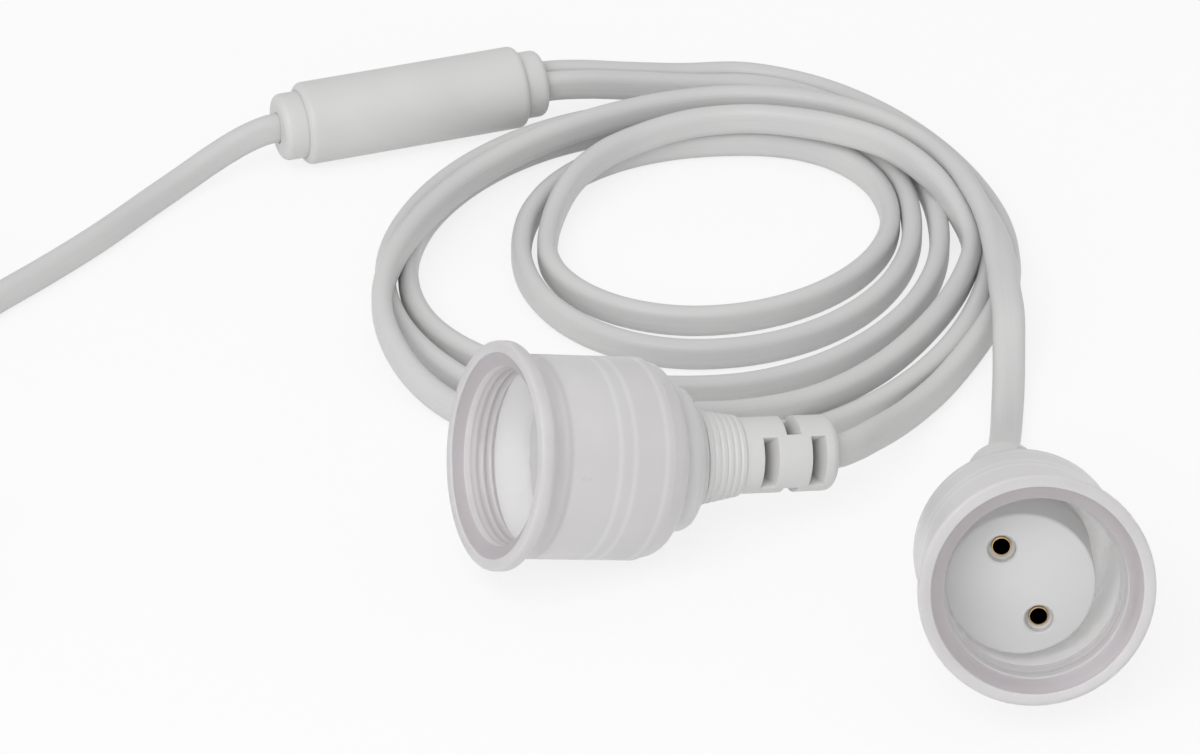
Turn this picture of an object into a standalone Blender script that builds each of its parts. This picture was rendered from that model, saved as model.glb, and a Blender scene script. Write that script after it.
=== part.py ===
"""Two sealed lampholders for a 26 mm two-pin fluorescent tube, on flat leads from one in-line junction.

The set lies on a table: each holder rests on the shoulder of its soft cap, the long lead lies in a
loose coil, and the rest of the supply lead is tied in a round coil with its plug beside it.
All sizes are in millimetres and become metres where a mesh or a curve is made.
"""

import math

import bmesh
import bpy
from mathutils import Matrix, Vector

MM = 0.001
CLEARANCE = 0.3
SEGMENTS = 30
FINE_SEGMENTS = 16

# The frame: the holders and the junction are centred over the origin
FRAME_CENTRE = (12.68, -5.78)

# Lamp: the tube's end cap and its two pins
LAMP_DIAMETER = 26.0
PIN_SPACING = 12.7
PIN_BORE = 2.55
SEAL_SQUEEZE = 0.72

# Seal cap, measured along the holder from the mouth
LIP_RADIUS = 18.0
LIP_THICKNESS = 2.0
FACE_INNER_RADIUS = 16.14
CHAMFER_DEPTH = 2.4
FLARE_LENGTH = 3.0
CUP_RADIUS = 15.85
CUP_WALL = 1.55
CUP_LENGTH = 24.4
SHOULDER_DEPTH = 4.3
COLLAR_RADIUS = 11.6
COLLAR_END = 34.4
CAP_LENGTH = 35.1
CAP_NECK_WALL = 2.7
NECK_BORE_RADIUS = 6.9
NECK_END_RADIUS = 8.6
GUIDE_BORE_RADIUS = 13.72
SEAL_RIB_STATIONS = (5.2, 7.3)
SEAL_RIB_WIDTH = 0.9
SEAL_GROOVE_RADIUS = 13.5
CAVITY_START = 8.9
CAVITY_END = 23.2
WELL_RADIUS = 10.0
WELL_START = 27.4

# The soft cap leans about a pivot on the insert's axis, and its neck stays straight
PIVOT = 27.0
LEAN_FULL = 24.0
LEAN_NONE = 33.0

# Contact carrier
CARRIER_RADIUS = 11.4
CARRIER_FACE = 10.7
CARRIER_LENGTH = 10.0
RECESS_RADIUS = 2.1
RECESS_DEPTH = 1.3

# Contact sleeves
SLEEVE_RADIUS = 1.5
SLEEVE_INSET = 0.5
SLEEVE_BORE_DEPTH = 8.0
SLEEVE_FLANGE_RADIUS = 2.3
SLEEVE_FLANGE_LENGTH = 1.8
BARREL_RADIUS = 1.3
BARREL_LENGTH = 4.2
WIRE_BORE_RADIUS = 0.75
WIRE_BORE_DEPTH = 3.4

# Moulded tail behind the carrier
TAIL_FLANGE_LENGTH = 2.0
TAIL_CONE_LENGTH = 3.6
RIB_COUNT = 5
RIB_PITCH = 1.4
RIB_WIDTH = 0.85
RIB_DEPTH = 0.45
RIB_FIRST_RADIUS = 7.5
RIB_LAST_RADIUS = 6.4
RELIEF_RADIUS = 6.0
RELIEF_END_RADIUS = 5.92
RELIEF_END = 56.1
RELIEF_ROUNDING = 1.4
SLOT_STATIONS = (44.35, 48.5, 52.4)
SLOT_WIDTH = 1.9
SLOT_ARC = 84.0
SLOT_FLOOR_RADIUS = 3.4
CORD_SEAT_DEPTH = 2.4

# Flat two-core lead
CORD_THICKNESS = 3.4
CORD_WIDTH = 5.4

# In-line junction
JUNCTION_CENTRE = (-33.1, 77.9)
JUNCTION_TURN = 19.6
SHELL_RADIUS = 7.2
SHELL_LENGTH = 40.2
SHELL_WALL = 1.3
SHELL_ROUNDING = 1.3
BUSH_REACH = 4.0
BUSH_SEAT = 6.0
BUSH_ROUNDING = 0.9
CORD_SPACING = 4.0
CRIMP_RADIUS = 1.6
CRIMP_LENGTH = 12.0
CRIMP_SPACING = 5.6

# Stored coil of the supply lead
COIL_CENTRE = (-144.9, 18.3)
COIL_INNER_RADIUS = 21.6
COIL_OUTER_RADIUS = 36.8
COIL_HEIGHT = 11.2
TIE_THICKNESS = 0.9
TIE_WIDTH = 4.0
TIE_TURN = 70.0

# Plug
PLUG_BACK = (-150.5, -61.0)
PLUG_LENGTH = 34.0
PLUG_WIDTH = 35.3
PLUG_THICKNESS = 13.7
PLUG_NECK_WIDTH = 10.0
PLUG_NECK_THICKNESS = 8.0
PLUG_PIN_RADIUS = 2.0
PLUG_PIN_REACH = 19.0
PLUG_PIN_SEAT = 6.0
PLUG_PIN_SPACING = 18.6

# Places of the two holders: pivot point, heading of the tail, dip of the tail, roll of the pin line,
# and how far the cap's mouth leans up and to the side of the insert
HOLDERS = {
    "a": {"pivot": (7.83, -47.96, 14.9), "heading": 15.82, "dip": 7.49, "roll": 75.0,
          "raise": 7.1, "swing": 5.6},
    "b": {"pivot": (63.16, -71.45, 14.6), "heading": 89.68, "dip": 11.73, "roll": 62.5,
          "raise": 6.76, "swing": 3.97},
}

# Routes of the leads where they aren't coiled: x, y and the height of the middle of the cord
SUPPLY_ROUTE = (
    (-54.4, 70.3, 7.2), (-57.5, 69.2, 7.2), (-61.5, 67.3, 6.3), (-66.4, 64.0, 4.7),
    (-71.0, 59.6, 3.4), (-77.0, 52.0, 2.7), (-84.7, 40.4, 2.7), (-92.5, 30.0, 2.7),
    (-100.0, 20.8, 2.7), (-106.4, 12.5, 2.7),
)
SUPPLY_END_ROUTE = (
    (-150.0, -20.2, 7.4), (-157.0, -21.0, 5.9), (-165.5, -23.6, 3.9), (-173.0, -29.2, 2.9),
    (-176.6, -37.6, 3.2), (-176.6, -46.0, 4.2), (-172.4, -54.2, 5.4), (-165.0, -59.6, 6.5),
    (-157.0, -61.0, 6.85), (-151.2, -61.0, 6.85),
)
LEAD_A_ROUTE = (
    (-13.0, 87.3, 7.2), (-9.5, 88.5, 7.2), (-4.0, 90.2, 6.5), (4.0, 92.4, 4.9),
    (14.0, 95.0, 3.2), (25.8, 96.3, 2.7), (38.0, 91.4, 2.7), (49.0, 82.2, 2.7),
    (58.2, 69.8, 2.7), (64.6, 56.4, 2.7), (68.6, 41.0, 2.7), (68.6, 27.0, 2.7),
    (65.2, 14.4, 2.7), (60.6, 3.2, 2.7), (55.5, -7.1, 2.8), (52.3, -13.0, 3.4),
    (49.0, -19.3, 4.6), (45.9, -25.6, 6.5), (43.2, -31.2, 8.5), (40.3, -36.3, 10.1),
    (36.92, -39.72, 10.92), (33.59, -40.66, 11.38),
)
LEAD_B_START_ROUTE = (
    (-11.6, 83.5, 7.2), (-8.1, 84.8, 7.2), (-2.0, 86.8, 6.4), (6.0, 89.2, 4.8),
    (15.0, 91.2, 3.2), (21.0, 92.0, 2.7), (25.5, 92.0, 2.7),
)
LEAD_B_END_ROUTE = (
    (66.9, 15.5, 7.9), (67.2, 9.0, 7.0), (67.0, 2.5, 4.6), (66.6, -5.0, 2.5),
    (65.9, -13.5, 1.9), (65.1, -22.0, 2.7), (64.2, -30.0, 4.9), (63.6, -36.5, 7.1),
    (63.33, -41.59, 8.4), (63.31, -45.01, 9.11),
)
# How far each lead leans over from standing on its edge, at its start and at its holder, in degrees
LEAD_A_TURN = (0.0, 15.0)
LEAD_B_END_TURN = (90.0, 27.5)

# The loose coil of the long lead: its outer and inner edges, seen from above
LOOSE_COIL_OUTER = (
    (0.0, 83.2), (12.0, 87.6), (24.0, 89.8), (35.0, 87.6), (45.4, 81.2), (55.4, 69.0),
    (62.2, 55.4), (65.6, 44.0), (66.6, 34.0), (64.8, 21.0), (60.4, 8.5), (53.4, -4.0),
    (42.8, -15.2), (28.0, -22.8), (12.0, -25.8), (-4.0, -23.8), (-18.0, -18.4), (-29.2, -9.0),
    (-36.0, 3.0), (-38.3, 18.0), (-37.0, 34.0), (-32.0, 50.0), (-23.0, 64.0), (-12.0, 75.2),
)
LOOSE_COIL_INNER = (
    (8.0, 65.6), (12.6, 68.2), (21.0, 70.2), (28.5, 70.2), (35.4, 67.8), (41.4, 62.6),
    (45.4, 55.2), (47.2, 47.0), (46.8, 39.8), (44.8, 32.4), (41.2, 25.8), (36.2, 20.6),
    (29.6, 16.8), (22.4, 15.2), (14.8, 15.2), (7.8, 17.0), (1.8, 20.6), (-2.8, 25.6),
    (-5.6, 31.6), (-6.6, 38.0), (-6.0, 44.6), (-3.8, 51.0), (-0.4, 56.8), (3.6, 61.6),
)
LOOSE_COIL_HEIGHT = 10.9
LOOSE_COIL_ROUNDING = 1.6
LOOSE_COIL_STEPS = 2

# Colour, roughness and metallic value of each material
FINISHES = {
    "translucent_cap": ((0.80, 0.77, 0.79), 0.35, 0.0),
    "white_moulding": ((0.72, 0.71, 0.69), 0.45, 0.0),
    "white_cord": ((0.62, 0.61, 0.60), 0.40, 0.0),
    "brass": ((0.72, 0.50, 0.22), 0.28, 1.0),
    "bright_pin": ((0.72, 0.71, 0.69), 0.25, 1.0),
}


def rounded(corners, steps=4):
    """A closed or open outline with each corner (x, r, radius) turned into an arc."""
    points = []
    for index, corner in enumerate(corners):
        here = Vector(corner[:2])
        if len(corner) < 3:
            points.append(here)
            continue
        before = (Vector(corners[index - 1][:2]) - here).normalized()
        after = (Vector(corners[(index + 1) % len(corners)][:2]) - here).normalized()
        angle = before.angle(after)
        sweep = math.pi - angle
        reach = corner[2] / math.tan(angle / 2)
        centre = here + (before + after).normalized() * corner[2] / math.sin(angle / 2)
        start = here + before * reach - centre
        end = here + after * reach - centre
        count = min(steps, 1 + round(corner[2]))
        for step in range(count + 1):
            share = step / count
            arm = start * math.sin((1 - share) * sweep) + end * math.sin(share * sweep)
            points.append(centre + arm / math.sin(sweep))
    return points


def spin(bm, outline, closed, segments=SEGMENTS, centre=(0.0, 0.0)):
    """Turns an outline of (x, r) about an axis along X through centre, (y, z)."""
    line = [bm.verts.new((x, r, 0.0)) for x, r in outline]
    edges = [bm.edges.new(pair) for pair in zip(line, line[1:])]
    if closed:
        edges.append(bm.edges.new((line[-1], line[0])))
    bmesh.ops.spin(bm, geom=line + edges, cent=(0, 0, 0), axis=(1, 0, 0), angle=math.tau,
                   steps=segments, use_merge=True)
    made = {v for e in edges for v in e.verts}
    todo = list(made)
    while todo:
        for edge in todo.pop().link_edges:
            for v in edge.verts:
                if v not in made:
                    made.add(v)
                    todo.append(v)
    bmesh.ops.translate(bm, verts=list(made), vec=(0.0, *centre))
    bmesh.ops.remove_doubles(bm, verts=list(made), dist=0.001)


def material_of(finish, name):
    colour, roughness, metallic = FINISHES[finish]
    material = bpy.data.materials.new(f"{name}_{finish}")
    material.use_nodes = True
    shader = material.node_tree.nodes["Principled BSDF"]
    shader.inputs["Base Color"].default_value = (*colour, 1.0)
    shader.inputs["Roughness"].default_value = roughness
    shader.inputs["Metallic"].default_value = metallic
    return material


def add(name, bm, finish, place=None):
    """Turns a bmesh in millimetres into an object in metres at its place."""
    bmesh.ops.recalc_face_normals(bm, faces=bm.faces)
    bmesh.ops.scale(bm, vec=(MM, MM, MM), verts=bm.verts)
    mesh = bpy.data.meshes.new(name)
    bm.to_mesh(mesh)
    bm.free()
    mesh.shade_smooth()
    mesh.set_sharp_from_angle(angle=math.radians(32))
    obj = bpy.data.objects.new(name, mesh)
    bpy.context.collection.objects.link(obj)
    if finish:
        mesh.materials.append(material_of(finish, name))
    if place is not None:
        obj.matrix_world = place
    return obj


def cut(obj, name, bm, place=None):
    """Takes a shape out of an object with a hidden cutter."""
    cutter = add(name, bm, None, place)
    cutter.hide_render = True
    cutter.display_type = "WIRE"
    modifier = obj.modifiers.new(name, "BOOLEAN")
    modifier.operation = "DIFFERENCE"
    modifier.solver = "EXACT"
    modifier.object = cutter


def at(x, y, z=0.0):
    """A point of the table's own frame, in metres from the set's centre."""
    return Vector((x - FRAME_CENTRE[0], y - FRAME_CENTRE[1], z)) * MM


def placed(point, heading, dip=0.0, roll=0.0):
    """The place of a piece whose X axis points along its heading and dips below the horizon."""
    turn = Matrix.Rotation(math.radians(heading), 4, "Z")
    nod = Matrix.Rotation(math.radians(dip), 4, "Y")
    twist = Matrix.Rotation(math.radians(roll), 4, "X")
    return Matrix.Translation(at(*point)) @ turn @ nod @ twist


def prism(bm, outline, start, end):
    """Extrudes a closed outline of (y, z) along X."""
    face = bm.faces.new([bm.verts.new((start, y, z)) for y, z in outline])
    moved = bmesh.ops.extrude_face_region(bm, geom=[face])["geom"]
    verts = [item for item in moved if isinstance(item, bmesh.types.BMVert)]
    bmesh.ops.translate(bm, verts=verts, vec=(end - start, 0.0, 0.0))


def cord_hole(width, height, steps=6):
    """The outline of a hole round one or more leads, with their own rounding and clearance."""
    radius = CORD_THICKNESS / 2 + CLEARANCE - 0.01
    y, z = width / 2, height / 2
    return rounded([(y, z, radius), (-y, z, radius), (-y, -z, radius), (y, -z, radius)], steps)


def cap_outline():
    """The section of the soft cap: outside from the mouth to the neck, then back along the inside."""
    cavity = CUP_RADIUS - CUP_WALL
    squeezed = LAMP_DIAMETER / 2 - SEAL_SQUEEZE / 2
    neck_floor = CAP_LENGTH - CAP_NECK_WALL
    corners = [
        (0.0, FACE_INNER_RADIUS),
        (0.0, LIP_RADIUS, 0.7),
        (LIP_THICKNESS, LIP_RADIUS, 0.9),
        (LIP_THICKNESS + FLARE_LENGTH * 0.6, CUP_RADIUS, 2.0),
        (CUP_LENGTH, CUP_RADIUS),
        (CUP_LENGTH + SHOULDER_DEPTH * 0.8, CUP_RADIUS - 0.6, 2.9),
        (CUP_LENGTH + SHOULDER_DEPTH, COLLAR_RADIUS),
        (COLLAR_END - 1.2, COLLAR_RADIUS - 0.3, 2.2),
        (COLLAR_END, NECK_END_RADIUS),
        (CAP_LENGTH, NECK_END_RADIUS - 0.5),
        (CAP_LENGTH, NECK_BORE_RADIUS),
        (neck_floor, NECK_BORE_RADIUS),
        (neck_floor, WELL_RADIUS),
        (WELL_START, WELL_RADIUS),
        (CAVITY_END, cavity),
        (CAVITY_START, cavity),
        (CAVITY_START - 0.4, SEAL_GROOVE_RADIUS),
    ]
    for station in reversed(SEAL_RIB_STATIONS):
        corners += [
            (station + SEAL_RIB_WIDTH, SEAL_GROOVE_RADIUS),
            (station + SEAL_RIB_WIDTH / 3, squeezed),
            (station - SEAL_RIB_WIDTH / 3, squeezed),
            (station - SEAL_RIB_WIDTH, SEAL_GROOVE_RADIUS),
        ]
    corners.append((CHAMFER_DEPTH, GUIDE_BORE_RADIUS))
    return rounded(corners)


def lean(bm, up, aside):
    """Leans the mouth of a cap about its pivot, and leaves its neck straight."""
    for v in bm.verts:
        share = min(max((LEAN_NONE - v.co.x) / (LEAN_NONE - LEAN_FULL), 0.0), 1.0)
        share = share * share * (3.0 - 2.0 * share)
        turn = Matrix.Rotation(math.radians(aside) * share, 3, "Z")
        nod = Matrix.Rotation(math.radians(up) * share, 3, "Y")
        v.co = turn @ nod @ (v.co - Vector((PIVOT, 0, 0)))


def shifted(bm):
    """Puts the pivot of a holder's piece at its own origin."""
    bmesh.ops.translate(bm, verts=bm.verts, vec=(-PIVOT, 0.0, 0.0))
    return bm


def seal_cap(key, holder):
    bm = bmesh.new()
    spin(bm, cap_outline(), closed=True)
    lean(bm, holder["raise"], holder["swing"])
    add(f"seal_cap_{key}", bm, "translucent_cap",
        placed(holder["pivot"], holder["heading"], holder["dip"]))


def contact_carrier(key, place):
    back = CARRIER_FACE + CARRIER_LENGTH
    bm = bmesh.new()
    outline = rounded([(CARRIER_FACE, 0.0), (CARRIER_FACE, CARRIER_RADIUS, 0.4),
                       (back, CARRIER_RADIUS, 0.3), (back, 0.0)])
    spin(bm, outline, closed=False)
    carrier = add(f"contact_carrier_{key}", shifted(bm), "white_moulding", place)
    seat = back - SLEEVE_FLANGE_LENGTH - CLEARANCE * 2
    holes = bmesh.new()
    for side in (-1, 1):
        outline = [(CARRIER_FACE - 1, 0.0), (CARRIER_FACE - 1, RECESS_RADIUS),
                   (CARRIER_FACE + RECESS_DEPTH, RECESS_RADIUS),
                   (CARRIER_FACE + RECESS_DEPTH, SLEEVE_RADIUS + CLEARANCE),
                   (seat, SLEEVE_RADIUS + CLEARANCE),
                   (seat, SLEEVE_FLANGE_RADIUS + CLEARANCE),
                   (back + 1, SLEEVE_FLANGE_RADIUS + CLEARANCE), (back + 1, 0.0)]
        spin(holes, outline, False, FINE_SEGMENTS, (side * PIN_SPACING / 2, 0.0))
    cut(carrier, f"contact_holes_{key}", shifted(holes), place)


def contact_sleeve(key, number, side, place):
    front = CARRIER_FACE + SLEEVE_INSET
    flange = CARRIER_FACE + CARRIER_LENGTH - SLEEVE_FLANGE_LENGTH - CLEARANCE
    barrel = flange + SLEEVE_FLANGE_LENGTH
    end = barrel + BARREL_LENGTH
    outline = [
        (front + SLEEVE_BORE_DEPTH, 0.0), (front + SLEEVE_BORE_DEPTH, PIN_BORE / 2),
        (front + 0.2, PIN_BORE / 2), (front, PIN_BORE / 2 + 0.1),
        (front, SLEEVE_RADIUS), (flange, SLEEVE_RADIUS),
        (flange, SLEEVE_FLANGE_RADIUS), (barrel, SLEEVE_FLANGE_RADIUS),
        (barrel, BARREL_RADIUS), (end, BARREL_RADIUS),
        (end, WIRE_BORE_RADIUS), (end - WIRE_BORE_DEPTH, WIRE_BORE_RADIUS),
        (end - WIRE_BORE_DEPTH, 0.0),
    ]
    bm = bmesh.new()
    spin(bm, outline, False, FINE_SEGMENTS, (side * PIN_SPACING / 2, 0.0))
    add(f"contact_sleeve_{key}{number}", shifted(bm), "brass", place)


def tail_outline():
    """The moulded tail: flange, collar in the cap's well, neck, ribbed cone and strain relief."""
    front = CARRIER_FACE + CARRIER_LENGTH + CLEARANCE
    neck_start = CAP_LENGTH - CAP_NECK_WALL - CLEARANCE
    ribs_start = CAP_LENGTH + CLEARANCE
    collar = WELL_RADIUS - 2 * CLEARANCE
    neck = NECK_BORE_RADIUS - CLEARANCE
    corners = [
        (front, 0.0), (front, CARRIER_RADIUS, 0.4),
        (front + TAIL_FLANGE_LENGTH, CARRIER_RADIUS, 0.4),
        (front + TAIL_FLANGE_LENGTH + TAIL_CONE_LENGTH, collar),
        (neck_start, collar), (neck_start, neck), (ribs_start, neck),
    ]
    for rib in range(RIB_COUNT):
        start = ribs_start + rib * RIB_PITCH
        radius = RIB_FIRST_RADIUS + (RIB_LAST_RADIUS - RIB_FIRST_RADIUS) * rib / (RIB_COUNT - 1)
        slope = (RIB_PITCH - RIB_WIDTH) / 3
        corners += [(start + 0.02, radius), (start + RIB_WIDTH, radius - 0.05),
                    (start + RIB_WIDTH + slope, radius - RIB_DEPTH),
                    (start + RIB_PITCH, radius - RIB_DEPTH - 0.05)]
    corners += [
        (ribs_start + RIB_COUNT * RIB_PITCH, RELIEF_RADIUS),
        (RELIEF_END, RELIEF_END_RADIUS, RELIEF_ROUNDING), (RELIEF_END, 0.0),
    ]
    return rounded(corners)


def sector(bm, start, end, middle, steps=6):
    """A curved block that cuts one slot of the strain relief, about an angle in degrees."""
    outer = RELIEF_RADIUS + 1.5
    angles = [math.radians(middle + SLOT_ARC * (step / steps - 0.5)) for step in range(steps + 1)]
    outline = [(outer * math.cos(a), outer * math.sin(a)) for a in angles]
    outline += [(SLOT_FLOOR_RADIUS * math.cos(a), SLOT_FLOOR_RADIUS * math.sin(a))
                for a in reversed(angles)]
    prism(bm, outline, start, end)


def moulded_tail(key, place):
    bm = bmesh.new()
    spin(bm, tail_outline(), closed=False)
    tail = add(f"moulded_tail_{key}", shifted(bm), "white_moulding", place)
    front = CARRIER_FACE + CARRIER_LENGTH + CLEARANCE
    tools = bmesh.new()
    for number, station in enumerate(SLOT_STATIONS):
        for side in (0.0, 180.0):
            middle = side + (0.0 if number == 1 else 90.0)
            sector(tools, station - SLOT_WIDTH / 2, station + SLOT_WIDTH / 2, middle)
    seat = cord_hole(CORD_WIDTH + 2 * CLEARANCE, CORD_THICKNESS + 2 * CLEARANCE)
    prism(tools, seat, RELIEF_END - CORD_SEAT_DEPTH, RELIEF_END + 1)
    for side in (-1, 1):
        depth = front + BARREL_LENGTH
        outline = [(front - 1, 0.0), (front - 1, BARREL_RADIUS + CLEARANCE),
                   (depth, BARREL_RADIUS + CLEARANCE), (depth, 0.0)]
        spin(tools, outline, False, FINE_SEGMENTS, (side * PIN_SPACING / 2, 0.0))
    cut(tail, f"tail_cuts_{key}", shifted(tools), place)


def lampholder(key, holder):
    place = placed(holder["pivot"], holder["heading"], holder["dip"], holder["roll"])
    seal_cap(key, holder)
    contact_carrier(key, place)
    for number, side in enumerate((-1, 1), start=1):
        contact_sleeve(key, number, side, place)
    moulded_tail(key, place)


def junction():
    """The in-line junction: shell, a bush at each end, and a core with the two crimped splices."""
    place = placed((*JUNCTION_CENTRE, SHELL_RADIUS), JUNCTION_TURN)
    half = SHELL_LENGTH / 2
    bore = SHELL_RADIUS - SHELL_WALL
    bm = bmesh.new()
    shell = rounded([(-half, bore), (-half, SHELL_RADIUS, SHELL_ROUNDING),
                     (half, SHELL_RADIUS, SHELL_ROUNDING), (half, bore)])
    spin(bm, shell, closed=True)
    add("junction_shell", bm, "white_moulding", place)
    bush = bore - CLEARANCE
    inner = half - BUSH_SEAT
    for name, side, cords in (("junction_bush_supply", -1, 1), ("junction_bush_leads", 1, 2)):
        outer = half + BUSH_REACH
        bm = bmesh.new()
        outline = rounded([(side * inner, 0.0), (side * inner, bush),
                           (side * outer, bush, BUSH_ROUNDING), (side * outer, 0.0)])
        spin(bm, outline, closed=False)
        piece = add(name, bm, "white_moulding", place)
        hole = bmesh.new()
        width = CORD_THICKNESS + (cords - 1) * CORD_SPACING + 2 * CLEARANCE
        prism(hole, cord_hole(width, CORD_WIDTH + 2 * CLEARANCE), side * (outer - CORD_SEAT_DEPTH),
              side * (outer + 1))
        cut(piece, f"{name}_hole", hole, place)
    end = inner - CLEARANCE
    bm = bmesh.new()
    spin(bm, [(-end, 0.0), (-end, bush), (end, bush), (end, 0.0)], closed=False)
    core = add("splice_core", bm, "white_moulding", place)
    bores = bmesh.new()
    for number, side in enumerate((-1, 1), start=1):
        middle = (side * CRIMP_SPACING / 2, 0.0)
        reach = CRIMP_RADIUS + CLEARANCE
        spin(bores, [(-end - 1, 0.0), (-end - 1, reach), (end + 1, reach), (end + 1, 0.0)],
             False, FINE_SEGMENTS, middle)
        bm = bmesh.new()
        long = CRIMP_LENGTH / 2
        spin(bm, rounded([(-long, 0.0), (-long, CRIMP_RADIUS, 0.3), (long, CRIMP_RADIUS, 0.3),
                          (long, 0.0)], 2), False, FINE_SEGMENTS, middle)
        add(f"splice_crimp_{number}", bm, "brass", place)
    cut(core, "splice_bores", bores, place)


def between(p0, p1, p2, p3, steps):
    """Points on a smooth curve from p1 up to, but not at, p2."""
    line = []
    for step in range(steps):
        t = step / steps
        line.append(p1 + (p2 - p0) * (t / 2)
                    + (p0 * 2 - p1 * 5 + p2 * 4 - p3) * (t * t / 2)
                    + (p1 * 3 - p0 - p2 * 3 + p3) * (t * t * t / 2))
    return line


def smooth(points, spacing):
    """Points about spacing apart on a smooth curve through the chosen points."""
    points = [Vector(p) for p in points]
    points = [points[0] * 2 - points[1], *points, points[-1] * 2 - points[-2]]
    line = []
    for p0, p1, p2, p3 in zip(points, points[1:], points[2:], points[3:]):
        line += between(p0, p1, p2, p3, max(1, round((p2 - p1).length / spacing)))
    line.append(points[-2])
    return line


def smooth_ring(points, steps):
    """A smooth closed curve with the same number of points between each pair of chosen ones."""
    points = [Vector((*p, 0.0)) for p in points]
    total = len(points)
    line = []
    for index in range(total):
        line += between(*(points[(index + k) % total] for k in (-1, 0, 1, 2)), steps)
    return line


def cord(name, route, turns=(0.0, 0.0)):
    """A flat lead standing on its edge along a route, turned about its line from end to end."""
    line = smooth(route, 2.6 * CORD_WIDTH)
    curve = bpy.data.curves.new(name, "CURVE")
    curve.dimensions = "3D"
    curve.twist_mode = "Z_UP"
    curve.bevel_depth = CORD_THICKNESS / 2 * MM
    curve.extrude = (CORD_WIDTH - CORD_THICKNESS) / 2 * MM
    curve.bevel_resolution = 2
    curve.use_fill_caps = True
    spline = curve.splines.new("POLY")
    spline.points.add(len(line) - 1)
    for index, point in enumerate(line):
        share = index / (len(line) - 1)
        spline.points[index].co = (*at(*point), 1.0)
        spline.points[index].tilt = math.radians(turns[0] + (turns[1] - turns[0]) * share)
    obj = bpy.data.objects.new(name, curve)
    curve.materials.append(material_of("white_cord", name))
    bpy.context.collection.objects.link(obj)


def loose_coil():
    """The outer shape of the long lead's loose coil: an oval ring with rounded edges."""
    outer = smooth_ring(LOOSE_COIL_OUTER, LOOSE_COIL_STEPS)
    inner = smooth_ring(LOOSE_COIL_INNER, LOOSE_COIL_STEPS)
    bm = bmesh.new()
    rings = []
    for far, near in zip(outer, inner):
        across = (far - near).normalized() * LOOSE_COIL_ROUNDING
        low, high = LOOSE_COIL_ROUNDING, LOOSE_COIL_HEIGHT - LOOSE_COIL_ROUNDING
        section = [(near + across, 0.0), (near, low), (near, high),
                   (near + across, LOOSE_COIL_HEIGHT), (far - across, LOOSE_COIL_HEIGHT),
                   (far, high), (far, low), (far - across, 0.0)]
        rings.append([bm.verts.new((p.x - FRAME_CENTRE[0], p.y - FRAME_CENTRE[1], z))
                      for p, z in section])
    for ring, after in zip(rings, rings[1:] + rings[:1]):
        for index in range(len(ring)):
            other = (index + 1) % len(ring)
            bm.faces.new((ring[index], ring[other], after[other], after[index]))
    add("loose_coil", bm, "white_cord")


def frame_block(bm, hole, thickness, width):
    """A rectangular band about the X axis: hole is its opening (y, z)."""
    ring = []
    for extra in (0.0, thickness):
        y, z = hole[0] / 2 + extra, hole[1] / 2 + extra
        ring.append([(y, z), (-y, z), (-y, -z), (y, -z)])
    ends = [[[bm.verts.new((x, y, z)) for y, z in loop] for loop in ring]
            for x in (-width / 2, width / 2)]
    for index in range(4):
        other = (index + 1) % 4
        (near_in, near_out), (far_in, far_out) = ends
        bm.faces.new((near_in[index], near_in[other], near_out[other], near_out[index]))
        bm.faces.new((far_in[index], far_out[index], far_out[other], far_in[other]))
        bm.faces.new((near_in[index], far_in[index], far_in[other], near_in[other]))
        bm.faces.new((near_out[index], near_out[other], far_out[other], far_out[index]))


def stored_coil():
    """The tied coil of the supply lead, as a turned ring, and the tie in its groove."""
    bm = bmesh.new()
    ring = rounded([(0.0, COIL_INNER_RADIUS, 1.6), (COIL_HEIGHT, COIL_INNER_RADIUS, 1.6),
                    (COIL_HEIGHT, COIL_OUTER_RADIUS, 1.6), (0.0, COIL_OUTER_RADIUS, 1.6)], 3)
    spin(bm, ring, closed=True)
    upright = Matrix.Translation(at(*COIL_CENTRE)) @ Matrix.Rotation(-math.pi / 2, 4, "Y")
    coil = add("supply_coil", bm, "white_cord", upright)
    middle = (COIL_INNER_RADIUS + COIL_OUTER_RADIUS) / 2
    wide = COIL_OUTER_RADIUS - COIL_INNER_RADIUS
    angle = math.radians(TIE_TURN)
    spot = (COIL_CENTRE[0] + middle * math.cos(angle), COIL_CENTRE[1] + middle * math.sin(angle),
            COIL_HEIGHT / 2)
    place = placed(spot, TIE_TURN + 90.0)
    groove = TIE_THICKNESS + CLEARANCE
    tool = bmesh.new()
    frame_block(tool, (wide - 2 * groove, COIL_HEIGHT - 2 * groove), 3 * groove,
                TIE_WIDTH + 2 * CLEARANCE)
    cut(coil, "tie_groove", tool, place)
    band = bmesh.new()
    frame_block(band, (wide - 2 * TIE_THICKNESS, COIL_HEIGHT - 2 * TIE_THICKNESS), TIE_THICKNESS,
                TIE_WIDTH)
    add("coil_tie", band, "white_moulding", place)


def superellipse(width, height, power=3.4, sides=24):
    """A soft-cornered outline of (y, z) with a fixed number of sides."""
    points = []
    for side in range(sides):
        angle = math.tau * side / sides
        y, z = math.cos(angle), math.sin(angle)
        points.append((math.copysign(abs(y) ** (2 / power), y) * width / 2,
                       math.copysign(abs(z) ** (2 / power), z) * height / 2))
    return points


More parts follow.
